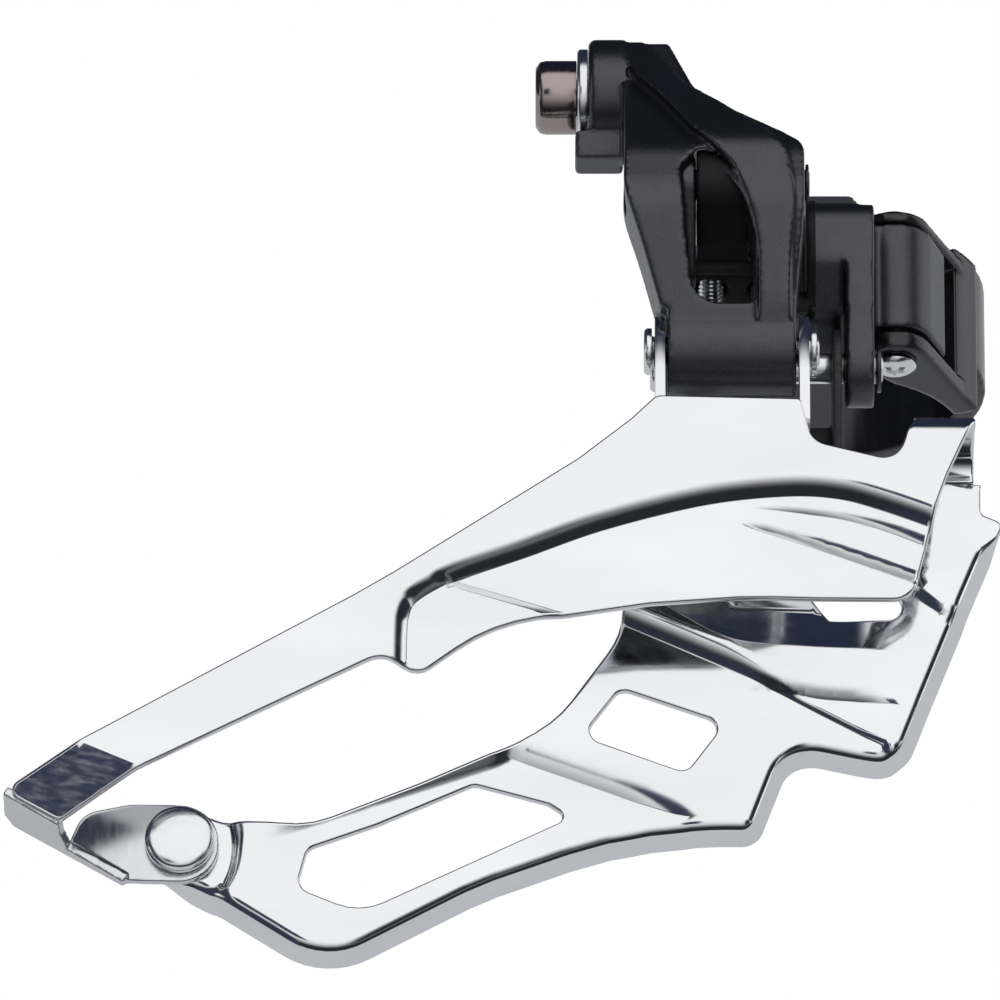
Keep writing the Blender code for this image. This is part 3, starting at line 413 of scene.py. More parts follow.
def triangulate(outer, holes, spacing, guides=(), creases=()):
    """Triangles over an outline with holes, along creases, through guide points and an even grid."""
    points = list(outer)
    loops = [list(range(len(outer)))]
    for hole in holes:
        loops.append(list(range(len(points), len(points) + len(hole))))
        points += list(hole)
    chains = []
    for crease in creases:
        cloud = np.array(crease)
        keep = on_sheet(outer, holes, cloud)
        near = np.array([tuple(p) for loop in loops for p in (points[i] for i in loop)])
        keep &= np.array([np.hypot(near[:, 0] - a, near[:, 1] - b).min() > 0.22 for a, b in cloud])
        last = None
        for spot, inside in zip(cloud, keep):
            if not inside:
                last = None
                continue
            points.append(Vector(spot))
            if last is not None:
                chains.append((last, len(points) - 1))
            last = len(points) - 1
    fixed = np.array([tuple(p) for p in points])
    extra = np.zeros((0, 2))
    if spacing:
        low = fixed.min(0)
        high = fixed.max(0)
        rows = int((high[1] - low[1]) / spacing) + 1
        columns = int((high[0] - low[0]) / spacing) + 1
        grid = [(low[0] + (c + 0.5 * (r % 2)) * spacing, low[1] + r * spacing)
                for r in range(1, rows) for c in range(1, columns)]
        for cloud, clearance in ((np.array(guides).reshape(-1, 2), 0.30), (np.array(grid), 0.62 * spacing)):
            if not len(cloud):
                continue
            cloud = cloud[on_sheet(outer, holes, cloud)]
            taken = np.vstack([fixed, extra])
            tree = KDTree(len(taken))
            for i, spot in enumerate(taken):
                tree.insert((spot[0], spot[1], 0.0), i)
            tree.balance()
            far = [tree.find((a, b, 0.0))[2] > clearance for a, b in cloud]
            extra = np.vstack([extra, cloud[np.array(far, bool)]])
    points += vectors(extra)
    edges = [(loop[i], loop[(i + 1) % len(loop)]) for loop in loops for i in range(len(loop))] + chains
    verts, _, faces, origin, _, _ = delaunay_2d_cdt(points, edges, [], 0, 1e-5)
    flat = np.array([tuple(v) for v in verts])
    middle = np.array([flat[list(f)].mean(0) for f in faces])
    keep = on_sheet(outer, holes, middle)
    faces = [list(f) for f, inside in zip(faces, keep) if inside]
    used = sorted({i for face in faces for i in face})
    number = {old: new for new, old in enumerate(used)}
    first = {source: number[old] for old in used for source in origin[old]}
    return (flat[used], [[number[i] for i in face] for face in faces],
            [[first[i] for i in loop] for loop in loops])


SHEET = 1.1
# Edge sections of a pressed sheet as (inset, depth), from the outer face round to the back
PLAIN_EDGE = [(0.45, 0.0), (0.30, 0.0), (0.18, 0.03), (0.08, 0.10), (0.02, 0.20), (0.0, 0.34), (0.0, 0.76),
              (0.02, 0.90), (0.08, 1.0), (0.18, 1.07), (0.30, 1.1), (0.45, 1.1)]
LIP_EDGE = [(2.6, 0.0), (2.0, 0.03), (1.55, 0.16), (1.2, 0.42), (0.98, 0.8), (0.8, 1.25), (0.02, 2.66),
            (0.0, 2.86), (0.14, 3.0), (0.98, 3.05), (1.75, 1.7), (2.6, 1.1)]
RIM = [(0.34, 0.0), (0.2, 0.02), (0.08, 0.10), (0.0, 0.28),
       (0.0, 0.82), (0.08, 1.0), (0.2, 1.08), (0.34, 1.1)]


def level_at(face, x, z):
    """How far outboard a surface lies at one point."""
    return float(face(x, z)[0])


def pressed_sheet(name, outline, holes, face, lip, spacing, guides, creases, wrap=None):
    """A closed pressed sheet parallel to XZ. face(x, z) gives "out" and lip(x, z) how far the edge folds.
    wrap(x, out, z) may bend the finished sheet."""
    border = anticlockwise(outline)
    away = normals(border)
    share = [lip(p.x, p.y) for p in border]
    first = [p - n * (PLAIN_EDGE[0][0] * (1 - s) + LIP_EDGE[0][0] * s)
             for p, n, s in zip(border, away, share)]
    rings = [anticlockwise(h) for h in holes]
    ring_away = [normals(r) for r in rings]
    wide = [[p + n * RIM[0][0] for p, n in zip(r, a)] for r, a in zip(rings, ring_away)]
    flat, faces, loops = triangulate(first, wide, spacing, guides, creases)
    count = len(flat)
    level = face(flat[:, 0], flat[:, 1])
    verts = [(a, o, b) for (a, b), o in zip(flat, level)]
    verts += [(a, o - SHEET, b) for (a, b), o in zip(flat, level)]
    solid = [list(f) for f in faces] + [[i + count for i in reversed(f)] for f in faces]
    loops_made = [(loops[0], border, away, -1.0, PLAIN_EDGE, LIP_EDGE, share)]
    for loop, ring, out_way in zip(loops[1:], rings, ring_away):
        loops_made.append((loop, ring, out_way, 1.0, RIM, RIM, [0.0] * len(ring)))
    for loop, ring, out_way, sign, plain, folded, amounts in loops_made:
        rows = [loop]
        for k in range(1, len(plain) - 1):
            row = []
            for point, normal, s in zip(ring, out_way, amounts):
                inset = plain[k][0] * (1 - s) + folded[k][0] * s
                depth = plain[k][1] * (1 - s) + folded[k][1] * s
                root = plain[0][0] * (1 - s) + folded[0][0] * s
                base = point + normal * (sign * root)
                spot = point + normal * (sign * inset)
                row.append(len(verts))
                verts.append((spot.x, level_at(face, base.x, base.y) - depth, spot.y))
            rows.append(row)
        rows.append([i + count for i in loop])
        for one, two in zip(rows, rows[1:]):
            for i in range(len(one)):
                j = (i + 1) % len(one)
                solid.append([one[j], one[i], two[i], two[j]])
    if wrap is not None:
        verts = [wrap(*v) for v in verts]
    item = new_object(name, verts, solid, CHROME)
    where = (lambda p: True) if wrap is None else (lambda p: p[1] < BEND_START - 0.5)
    shade_by_surface(item, face, flat, where)
    return item


def shade_by_surface(item, face, flat, where):
    """Takes the shading of both faces from the surface itself, so reflections run smoothly."""
    nudge = 0.03
    a, b = flat[:, 0], flat[:, 1]
    slope_x = (face(a + nudge, b) - face(a - nudge, b)) / (2 * nudge)
    slope_z = (face(a, b + nudge) - face(a, b - nudge)) / (2 * nudge)
    front = np.stack([-slope_x, -np.ones(len(a)), -slope_z], 1)
    front /= np.linalg.norm(front, axis=1)[:, None]
    shading = np.array([v.normal for v in item.data.vertices])
    flat_part = np.array([where(p) for p in flat])
    shading[:len(a)][flat_part] = front[flat_part]
    shading[len(a):2 * len(a)][flat_part] = -front[flat_part]
    item.data.normals_split_custom_set_from_vertices([tuple(n) for n in shading])


# Relief of the cage


def rise(value, low, high):
    t = np.clip((value - low) / (high - low), 0.0, 1.0)
    return t * t * (3 - 2 * t)


def roll(value, low, high, power=2.3):
    """Leaves 0 gently at low and reaches 1 with a sharp corner at high."""
    return np.clip((value - low) / (high - low), 0.0, 1.0) ** power


def height(x, points):
    return np.interp(x, [p[0] for p in points], [p[1] for p in points])


def side(x, z, a, b):
    """Signed distance from the line a-b, positive to its left."""
    dx, dz = b[0] - a[0], b[1] - a[1]
    length = math.hypot(dx, dz)
    return (dx * (z - a[1]) - dz * (x - a[0])) / length


def distance(x, z, points):
    """Distance to a broken line."""
    best = np.full(np.shape(x), 1e9)
    for (ax, az), (bx, bz) in zip(points, points[1:]):
        dx, dz = bx - ax, bz - az
        t = np.clip(((x - ax) * dx + (z - az) * dz) / (dx * dx + dz * dz), 0.0, 1.0)
        best = np.minimum(best, np.hypot(x - ax - t * dx, z - az - t * dz))
    return best


def flowing(points, gap=0.6):
    """A smooth line through points."""
    ends = [points[0]] + list(points) + [points[-1]]
    result = []
    for a, b, c, d in zip(ends, ends[1:], ends[2:], ends[3:]):
        pieces = max(1, round(math.hypot(c[0] - b[0], c[1] - b[1]) / gap))
        for k in range(pieces):
            t = k / pieces
            result.append(tuple(0.5 * (2 * q + (r - p) * t + (2 * p - 5 * q + 4 * r - u) * t * t
                                       + (3 * q - p - 3 * r + u) * t ** 3) for p, q, r, u in zip(a, b, c, d)))
    return result + [tuple(points[-1])]


def beside(points, offset):
    """A line at a distance to the left of another."""
    result = []
    for i, (a, b) in enumerate(points):
        before = points[max(i - 1, 0)]
        after = points[min(i + 1, len(points) - 1)]
        length = math.hypot(after[0] - before[0], after[1] - before[1])
        result.append((a - (after[1] - before[1]) / length * offset,
                       b + (after[0] - before[0]) / length * offset))
    return result


def pair(points, gap=0.09):
    """Two lines close to either side of a sharp crease."""
    return [beside(points, gap), beside(points, -gap)]


def along(points, offsets, gap=0.55):
    """Points beside a broken line, so that mesh edges follow it."""
    result = []
    for (ax, az), (bx, bz) in zip(points, points[1:]):
        length = math.hypot(bx - ax, bz - az)
        across = (-(bz - az) / length, (bx - ax) / length)
        pieces = max(1, round(length / gap))
        for k in range(pieces):
            t = k / pieces
            for offset in offsets:
                result.append((ax + (bx - ax) * t + across[0] * offset,
                               az + (bz - az) * t + across[1] * offset))
    return result


OUTER_FACE = 44.5
STEP_LINE = flowing([(-47.6, -64.0), (-47.5, -57.0), (-47.3, -54.6), (-46.5, -52.6), (-44.4, -50.9),
                     (-40.6, -48.9), (-34.0, -46.4), (-25.0, -42.9), (-14.0, -39.9), (-5.0, -38.8),
                     (1.0, -39.1), (6.0, -40.5), (14.0, -43.6)])
STEP_AREA = vectors(STEP_LINE) + vectors(((14.0, -70.0), (-47.6, -70.0)))
STEP_HALF = 1.15
SECOND_LINE = flowing([(-12.0, -41.2), (-7.1, -41.4), (-2.4, -41.9), (2.2, -42.7), (6.9, -44.2),
                       (13.0, -46.9)])
VEE_TOP = flowing([(-11.0, -42.2), (-4.8, -43.3), (2.2, -45.4), (12.0, -49.4)])
VEE_LOW = flowing([(-11.0, -42.6), (-4.8, -44.6), (0.3, -46.4), (12.0, -50.9)])
RAMP = ((-40.4, -50.4), (-29.6, -53.9))
TAIL_FOLD = ((-75.2, -73.4), (-83.2, -69.8))


def outer_face(x, z):
    """The outer plate stands proud along its top, drops at a pressed step and bends in at the tail."""
    x, z = np.atleast_1d(x), np.atleast_1d(z)
    inside = distance(x, z, STEP_LINE) * np.where(contained(STEP_AREA, x, z), 1.0, -1.0)
    raised = np.clip(-side(x, z, *RAMP) / 1.0, 0.0, 1.0) * (1 - rise(x, -29.5, -24.0))
    out = OUTER_FACE - (1.75 - 0.55 * raised) * roll(inside, -STEP_HALF, STEP_HALF, 2.0)
    width = np.interp(x, [-12.0, 10.0], [0.3, 1.9])
    out = out - 0.5 * rise(x, -12.0, -1.0) * roll(height(x, SECOND_LINE) - z, -width, 0.0, 1.8)
    gate = rise(x, -11.0, -5.0)
    top, low = height(x, VEE_TOP), height(x, VEE_LOW)
    out = out - 0.7 * gate * np.clip((top - z) / np.maximum(top - low, 0.2), 0.0, 1.0) ** 1.8
    out = out + 1.1 * gate * np.clip((low - z) / 0.5, 0.0, 1.0)
    return out - 0.34 * np.maximum(side(x, z, *TAIL_FOLD), 0.0)


INNER_FACE = 30.6
TAIL_FACE = 35.25
FIRST_CREASE = flowing([(-24.0, -50.8), (-15.0, -54.7), (-6.0, -58.8), (5.8, -65.0), (12.0, -68.2)])
SECOND_CREASE = flowing([(-6.0, -58.8), (-1.5, -59.7), (3.0, -60.0), (7.0, -60.3), (9.2, -61.4)])
CREST = flowing([(-24.0, -45.2), (-20.4, -47.6), (-17.6, -49.8), (-10.8, -53.4), (-3.0, -54.0),
                 (4.2, -54.1), (9.0, -54.1)])
LOWER_STEP = ((-34.8, -66.0), (-11.8, -74.2))
RAIL = ((-60.0, -77.8), (-36.0, -68.7))
SEAT_R = 5.7
NOTCH = ((9.3, -46.6), (14.2, -50.2))


def seat_line(radius):
    """A line round the rivet, stretched in z."""
    angles = [math.radians(-88 + 5 * k) for k in range(36)]
    return [(RIVET[0] + radius * math.cos(a), RIVET[1] + radius * math.sin(a) / 0.75) for a in angles]


def inner_face(x, z):
    """The inner plate's shelf stands outboard of the hole field, which stands outboard of the rail."""
    x, z = np.atleast_1d(x), np.atleast_1d(z)
    share = np.clip((15.0 - x) / 81.0, 0.0, 1.0)
    out = INNER_FACE + (TAIL_FACE - INNER_FACE) * share
    field = side(x, z, *LOWER_STEP)
    fade = 1 - rise(x, -24.0, -8.0)
    lowered = roll(-field, -3.4, 1.4, 2.4)
    out = out + 1.3 * (1 - lowered * fade) * rise(x, -37.5, -33.0)
    rail = side(x, z, *RAIL)
    out = out + 1.3 * rise(rail, 0.0, 2.6) * (1 - rise(x, -37.5, -33.0)) * rise(x, -66.0, -56.0)
    above = z - height(x, FIRST_CREASE)
    swap = rise(x, -13.0, -1.0)
    reach = 2.9 - 2.3 * swap
    out = out + (1.7 - 1.1 * swap) * (1 - roll(-above, -reach, 0.0, 2.2))
    front = 1 - rise(x, 3.0, 9.8)
    above = z - height(x, SECOND_CREASE)
    out = out + 0.8 * swap * front * (1 - roll(-above, -1.9, 0.0, 2.2))
    crest = z - height(x, CREST)
    out = out - 0.42 * np.clip(crest, 0.0, 5.0) * (1 - rise(x, 1.0, 9.8))
    out = out - 0.16 * np.clip(-crest, 0.0, 5.0) * swap * front
    notch = side(x, z, *NOTCH)
    out = out + 0.9 * np.clip((notch + 0.5) / 1.0, 0.0, 1.0) * rise(x, 8.6, 10.4) * (1 - rise(x, 11.0, 17.0))
    away = np.hypot(np.maximum(x - RIVET[0], 0.0), 0.75 * (z - RIVET[1]))
    return out - 0.9 * roll(SEAT_R + 1.9 - away, 0.0, 1.9, 2.2)


# stands for the end of the fold over the chain, which make_cage works out
FOLD_END = -14.6
OUTER_LINE = [(-90.6, -75.1, 1.2), (-50.0, -51.2, 80), (-24.5, -33.8, 40), (-19.0, -28.2, 1.5),
              (-3.1, -28.6, 0.6), (-1.9, -33.8, 2.6), (7.3, -36.2, 2.2), (9.3, -30.6, 0.0),
              (9.3, FOLD_END, 0.0), (16.1, FOLD_END, 0.0), (16.1, -30.6, 0.0), (12.2, -39.6, 25),
              (10.0, -48.0, 12),
              (9.0, -52.3, 3.4), (-15.0, -52.1, 60), (-37.0, -55.6, 22), (-44.9, -61.6, 2.4),
              (-49.4, -59.8, 3.0), (-76.3, -73.8, 20), (-84.3, -78.7, 1.0)]
INNER_LINE = [(-76.6, -80.5, 4.0), (-69.0, -84.5, 14), (-55.2, -93.35, 9), (-38.0, -83.4, 25),
              (-22.0, -76.9, 40), (-8.0, -76.5, 2.6), (-4.2, -65.9, 3.8), (7.9, -68.3, 4.2),
              (19.4, -38.1, 1.0), (16.9, -37.0, 0.7), (16.9, -33.4, 0.0), (9.3, -33.4, 0.0),
              (8.6, -34.5, 1.5), (-18.5, -34.5, 3.0), (-22.4, -45.0, 8.0), (-22.9, -52.5, 10.0),
              (-30.5, -63.8, 14), (-45.0, -70.6, 30), (-57.5, -76.0, 12), (-66.5, -75.4, 5),
              (-71.2, -73.4, 4.6), (-76.6, -75.5, 4.0)]
SQUARE_HOLE = [(-23.0, -59.0, 1.5), (-11.6, -62.9, 1.5), (-15.8, -69.0, 1.5), (-27.2, -64.9, 1.5)]
LONG_HOLE = [(-57.2, -78.7, 1.5), (-58.4, -83.4, 1.6), (-51.5, -86.2, 6.0), (-28.6, -74.2, 1.2),
             (-31.0, -72.6, 1.4), (-39.0, -70.5, 1.2), (-49.5, -75.6, 2.0)]
SLOT_HOLE = [(-2.1, -46.9, 0.3), (8.0, -46.9, 1.6), (8.0, -50.1, 1.6), (0.1, -50.1, 0.3)]
BEND_START = -33.2
BEND_R = 3.4


def inner_lip(x, z):
    """The lip runs along the lower and front edges and fades at the tail and the front corner."""
    line = [(-76.0, -79.0), (-66.0, -81.0), (-55.0, -88.0), (-38.0, -80.0), (-9.0, -72.5), (-4.0, -62.0),
            (8.0, -58.0)]
    if x < 8.0:
        return float(rise(height(x, line) - z, 0.0, 1.5) * rise(x, -73.5, -69.5))
    return float(1 - rise(z, -42.5, -39.5))


def fold_far():
    """How far outboard the back of the inner plate lies where the fold reaches it."""
    return level_at(inner_face, 12.0, -34.0) - SHEET


def over_the_front(x, out, z):
    """Bends what stands above the front of the outer plate over the chain and down to the inner plate."""
    if z <= BEND_START or x < 8.9:
        return (x, out, z)
    far = fold_far()
    depth = OUTER_FACE - out
    travel = z - BEND_START
    quarter = BEND_R * math.pi / 2
    flat = (OUTER_FACE - BEND_R) - (far + BEND_R)
    radius = BEND_R - depth
    if travel < quarter:
        angle = travel / BEND_R
        return (x, OUTER_FACE - BEND_R + radius * math.cos(angle), BEND_START + radius * math.sin(angle))
    if travel < quarter + flat:
        return (x, OUTER_FACE - BEND_R - (travel - quarter), BEND_START + radius)
    angle = min((travel - quarter - flat) / BEND_R, math.pi / 2)
    rest = max(travel - 2 * quarter - flat, 0.0)
    return (x, far + BEND_R - radius * math.sin(angle), BEND_START + radius * math.cos(angle) - rest)


def make_outer_plate():
    far = fold_far()
    reach = BEND_START + BEND_R * math.pi + (OUTER_FACE - BEND_R) - (far + BEND_R) + 0.5
    line = [(a, reach if b == FOLD_END else b, r) for a, b, r in OUTER_LINE]
    guides = along(STEP_LINE, (-1.5, -0.7, -0.35, 0.0, 0.4, 0.8, 1.15)) + along(SECOND_LINE, (0.5, 1.0))
    guides += along(VEE_TOP, (0.3,)) + along(RAMP, (-0.6,))
    creases = pair(beside(STEP_LINE, -STEP_HALF)) + pair(SECOND_LINE) + pair(VEE_LOW)
    creases += [beside(VEE_LOW, -0.55)] + pair(flowing(TAIL_FOLD))
    creases += pair(flowing(RAMP)) + pair(beside(flowing(RAMP), -1.0))
    outer = pressed_sheet("cage_outer_plate", divided(rounded(line), 0.9), [], outer_face,
                          lambda x, z: 0.0, 0.85, guides, creases, over_the_front)
    outer.data.materials.append(BRUSHED)
    for face in outer.data.polygons:
        if side(face.center.x / MM, face.center.z / MM, *TAIL_FOLD) > 0.05:
            face.material_index = 1
    place(outer, "cage")
    return outer


def make_inner_plate():
    guides = along(FIRST_CREASE, (0.35, 0.8, 1.3, 1.9, 2.6)) + along(SECOND_CREASE, (0.4, 0.9, 1.5))
    guides += along(LOWER_STEP, (-1.8, -1.2, -0.4, 0.6))
    creases = pair(FIRST_CREASE) + pair(SECOND_CREASE[2:]) + pair(CREST)
    creases += pair(beside(flowing(LOWER_STEP), -1.4))
    creases += [seat_line(SEAT_R + shift) for shift in (-0.09, 0.09, 0.4, 0.8, 1.3, 1.9)]
    creases += pair(flowing(RAIL)) + [beside(flowing(RAIL), shift) for shift in (0.5, 1.0, 1.5, 2.0, 2.6)]
    creases += pair(beside(flowing(NOTCH), 0.5)) + pair(beside(flowing(NOTCH), -0.5))
    holes = [divided(rounded(h, 12.0), 0.9) for h in (SQUARE_HOLE, LONG_HOLE, SLOT_HOLE)]
    inner = pressed_sheet("cage_inner_plate", divided(rounded(INNER_LINE), 0.9), holes, inner_face,
                          inner_lip, 0.85, guides, creases)
    place(inner, "cage")


def make_cage():
    outer = make_outer_plate()
    make_inner_plate()
    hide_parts("cage")
    tail = make_tail()
    cut(tail, turned("bore", [(-9.0, 1.9), (6.0, 1.9)], (RIVET[0], TAB_FACE, RIVET[1]), "y", 60))
    eased(tail, 0.15)
    tail.name = "cage_tail"
    place(tail, "cage", STEEL)
    for number, low in enumerate((-19.1, -3.2)):
        make_ear(f"cage_outer_ear_{number}", Q1, [(44.2, -26.0), (44.2, -31.0), (41.0, -31.5)], low)
    for number, low in enumerate((-13.6, -1.2)):
        heights = (-35.4, -39.0, -43.0)
        root = min(level_at(inner_face, low + 0.5, z) for z in heights) - 0.5
        make_ear(f"cage_inner_ear_{number}", Q2, [(root, -35.0), (root, -43.0)], low)


def make_ear(name, pivot, root, low):
    item = prism(name, lug(pivot, 3.9, root), low, low + SHEET)
    cut(item, bore(pivot))
    crisp(item, 0.2)
    place(item, "cage", CHROME)


# Sizes shared with the mounting parts, in millimetres and degrees

GAP = 0.3
TUBE_R = 15.9
SADDLE_R = 18.0
BAND_R = 18.5
CLAMP_TOP = 7.2
BAND_LOW = -6.3
SADDLE_LOW = -12.0
HINGE = (7.9, 19.6)
HINGE_PIN_R = 1.6
HINGE_LOW = -9.4
HINGE_TOP = 3.4
EAR_CLEARANCE_R = 4.3
SPLIT_DEG = 250.0
SPLIT_LEFT = 360.0 - SPLIT_DEG
SPLIT_HALF_DEG = 1.2
LUG_OUT = 27.2
LUG_THICK = 4.6
CLAMP_BOLT_R = 2.5
P1 = (41.0, -0.6)
Q1 = (37.5, -19.5)
P2 = (25.0, -15.4)
Q2 = (P2[0] + Q1[0] - P1[0], P2[1] + Q1[1] - P1[1])
PIN_R = 1.7
BARREL_R = 5.1
BARREL_X = (-17.7, -3.5)
ANCHOR = (25.0, 18.5)
ANCHOR_HOLE_R = 2.3
BOSS_R = 6.5
BOSS_X = (-26.3, -22.3)
RIVET = (-71.2, -78.4)
TAB_FACE = 35.5


# Finishes and solids


def face_out(mesh):
    """Turns a closed mesh so that it faces outwards."""
    volume = 0.0
    for face in mesh.polygons:
        ring = [mesh.vertices[i].co for i in face.vertices]
        for k in range(1, len(ring) - 1):
            volume += ring[0].dot(ring[k].cross(ring[k + 1]))
    if volume < 0.0:
        mesh.flip_normals()


def eased(item, grain):
    """Rounds every edge as on a casting."""
    change = item.modifiers.new("grain", "REMESH")
    change.mode = "VOXEL"
    change.voxel_size = grain * MM
    change = item.modifiers.new("ease", "SMOOTH")
    change.factor = 0.5
    change.iterations = 7
    apply_modifiers(item)
    shade_smooth(item.data)


def crisp(item, width=0.12):
    """Breaks the sharp edges of a turned or cut part."""
    change = item.modifiers.new("edges", "BEVEL")
    change.width = width * MM
    change.segments = 2
    change.limit_method = "ANGLE"
    change.angle_limit = math.radians(32.0)
    apply_modifiers(item)
    shade_smooth(item.data)
    item.data.set_sharp_from_angle(angle=math.radians(38.0))


def dress(item, node_name, material, grain=None):
    """Finishes a piece and puts it in place of its plain node."""
    if grain is None:
        crisp(item)
    else:
        eased(item, grain)
    item.name = f"{node_name}_shape"
    place(item, BODY_OF[node_name], material)
    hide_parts(node_name)


def on_axis(axis, along, a, b):
    """The point (x, out, z) at a distance along an axis and at (a, b) across it."""
    return {"x": (along, a, b), "y": (a, along, b), "z": (a, b, along)}[axis]


def prism(name, outline, low, high, axis="x"):
    """A solid between two planes across an axis: x takes (out, z), y takes (x, z), z takes (x, out)."""
    kept, faces, loops = triangulate(anticlockwise(outline), [], 0)
    kept = vectors(kept)
    count = len(kept)
    verts = [on_axis(axis, level, *p) for level in (low, high) for p in kept]
    solid = [list(f) for f in faces] + [[i + count for i in reversed(f)] for f in faces]
    for loop in loops:
        for i in range(len(loop)):
            j = (i + 1) % len(loop)
            solid.append([loop[j], loop[i], loop[i] + count, loop[j] + count])
    return new_object(name, verts, solid)


def turned(name, profile, centre, axis="x", count=72):
    """A solid of revolution: profile lists (along, radius) from end to end, axis x, y or z."""
    verts = []
    rows = []
    for along, radius in profile:
        angles = [2 * math.pi * k / count for k in range(count if radius > 0.0 else 1)]
        rows.append([len(verts) + k for k in range(len(angles))])
        for angle in angles:
            spot = on_axis(axis, along, radius * math.cos(angle), radius * math.sin(angle))
            verts.append(tuple(c + d for c, d in zip(centre, spot)))
    faces = []
    for first, second in zip(rows, rows[1:]):
        for k in range(count):
            a, b = first[k % len(first)], first[(k + 1) % len(first)]
            c, d = second[(k + 1) % len(second)], second[k % len(second)]
            ring = [a, b, c, d]
            ring = [v for n, v in enumerate(ring) if v not in ring[:n]]
            if len(ring) > 2:
                faces.append(ring)
    if len(rows[0]) > 1:
        faces.append(list(reversed(rows[0])))
    if len(rows[-1]) > 1:
        faces.append(list(rows[-1]))
    return new_object(name, verts, faces)


def polar(radius, degrees):
    return Vector((radius * math.cos(math.radians(degrees)), radius * math.sin(math.radians(degrees))))


def sector(low_r, high_r, start, end, pieces):
    """A ring sector in (x, out), the angle measured from forward towards outboard."""
    angles = [start + (end - start) * k / pieces for k in range(pieces + 1)]
    return [polar(high_r, a) for a in angles] + [polar(low_r, a) for a in reversed(angles)]


def circle(pivot, radius):
    """Points round a pivot, as (out, z) or (x, out)."""
    return [Vector(pivot) + polar(radius, 5 * k) for k in range(72)]


def bore(pivot, high=5.0, radius=PIN_R + GAP, low=-25.0):
    """The tool for a round hole along X through a pivot."""
    return turned("bore", [(low, radius), (high, radius)], (0.0, *pivot), count=60)


def lug(pivot, radius, corners):
    """The outline of a lug, round about a pivot and tangent to the corners of its root."""
    return hull(circle(pivot, radius) + vectors(corners))


def hull(points):
    ordered = sorted(points, key=lambda p: (p.x, p.y))
    lower, upper = [], []
    for row, source in ((lower, ordered), (upper, list(reversed(ordered)))):
        for p in source:
            while len(row) > 1 and (row[-1] - row[-2]).cross(p - row[-1]) <= 1e-9:
                row.pop()
            row.append(p)
    return lower[:-1] + upper[:-1]


def make_tail():
    """The wall closing the tail and the tab it carries onto the inner plate."""
    start = Vector((-90.4, -75.3))
    end = Vector((-84.4, -78.9))
    along = (end - start).normalized()
    far = end + along * 8.3
    across = Vector((along.y, -along.x))
    face = level_at(outer_face, *start) - 0.15
    corners = [(start, face), (end, level_at(outer_face, *end) - 0.15), (end + along * 0.3, TAB_FACE + 3.0),
               (end + along * 1.0, TAB_FACE + 0.7), (far, TAB_FACE + 0.3), (far, TAB_FACE - SHEET),
               (start + along * 1.2, TAB_FACE - SHEET), (start, TAB_FACE + 0.8)]
    verts = []
    for shift in (-0.1, SHEET - 0.1):
        for point, out in corners:
            spot = point - across * shift
            verts.append((spot.x, out, spot.y))
    count = len(corners)
    faces = [list(range(count)), [i + count for i in reversed(range(count))]]
    for i in range(count):
        j = (i + 1) % count
        faces.append([j, i, i + count, j + count])
    wall = new_object("wall", verts, faces)
    tab = [(-83.4, -78.6, 0.0), (-81.8, -74.8, 3.0), (-76.5, -73.7, 6.0), (-66.9, -73.9, 4.5),
           (-66.9, -83.2, 4.5), (-77.2, -82.9, 1.0)]
    return join(wall, prism("tab", rounded(tab), TAB_FACE - SHEET, TAB_FACE, "y"))


# Outer link, the casting that carries the cable anchor

ARM_SIDE = [(41.6, -20.6, 0.0), (42.9, -15.8, 8.0), (46.4, -4.2, 9.0), (44.6, 2.6, 6.0), (38.0, 10.4, 20.0),
            (31.6, 17.0, 3.0), (28.6, 23.6, 0.0), (21.0, 14.6, 0.0), (27.0, 8.6, 8.0), (35.2, 3.2, 3.0),
            (37.6, -5.0, 10.0), (34.0, -17.0, 0.0)]
RIB_SIDE = [(41.9, -20.0, 0.0), (43.8, -15.8, 8.0), (46.6, -4.2, 9.0), (45.9, 3.0, 6.0), (39.4, 11.6, 20.0),
            (32.7, 18.2, 3.0), (29.0, 23.6, 0.0), (24.0, 20.0, 0.0), (34.0, 6.0, 0.0), (38.0, -2.0, 0.0),
            (38.5, -20.0, 0.0)]
RIB_FRONT = [(-22.4, 20.6, 0.0), (-14.9, 5.2, 8.0), (-10.2, -0.8, 8.0), (-8.1, -6.4, 9.0),
             (-7.6, -11.0, 9.0), (-7.8, -22.0, 0.0), (-4.1, -22.0, 0.0), (-4.1, -12.0, 20.0),
             (-3.6, -4.0, 12.0), (-4.6, 2.0, 3.0), (-8.6, 6.8, 6.0), (-14.8, 13.6, 10.0),
             (-20.2, 23.6, 0.0), (-22.0, 23.4, 0.0)]
ARM_FRONT = [(-17.7, -22.5, 0.0), (-17.7, -16.4, 0.0), (-18.5, -16.4, 0.3), (-20.5, -9.6, 14.0),
             (-22.6, -3.2, 12.0), (-22.4, 3.0, 10.0), (-22.4, 26.5, 0.0), (-18.4, 26.5, 1.5),
             (-13.4, 13.4, 12.0), (-5.0, 5.8, 5.0), (-2.5, 3.2, 3.5), (-2.5, -5.0, 20.0),
             (-3.5, -16.0, 20.0), (-3.5, -22.5, 0.0)]
ARM_WINDOW = [(-13.8, 2.6, 0.5), (-16.3, -0.4, 1.4), (-15.6, -9.0, 20.0), (-14.8, -15.9, 3.0),
              (-8.1, -15.9, 0.6), (-8.1, -8.5, 12.0), (-9.4, -4.0, 12.0)]


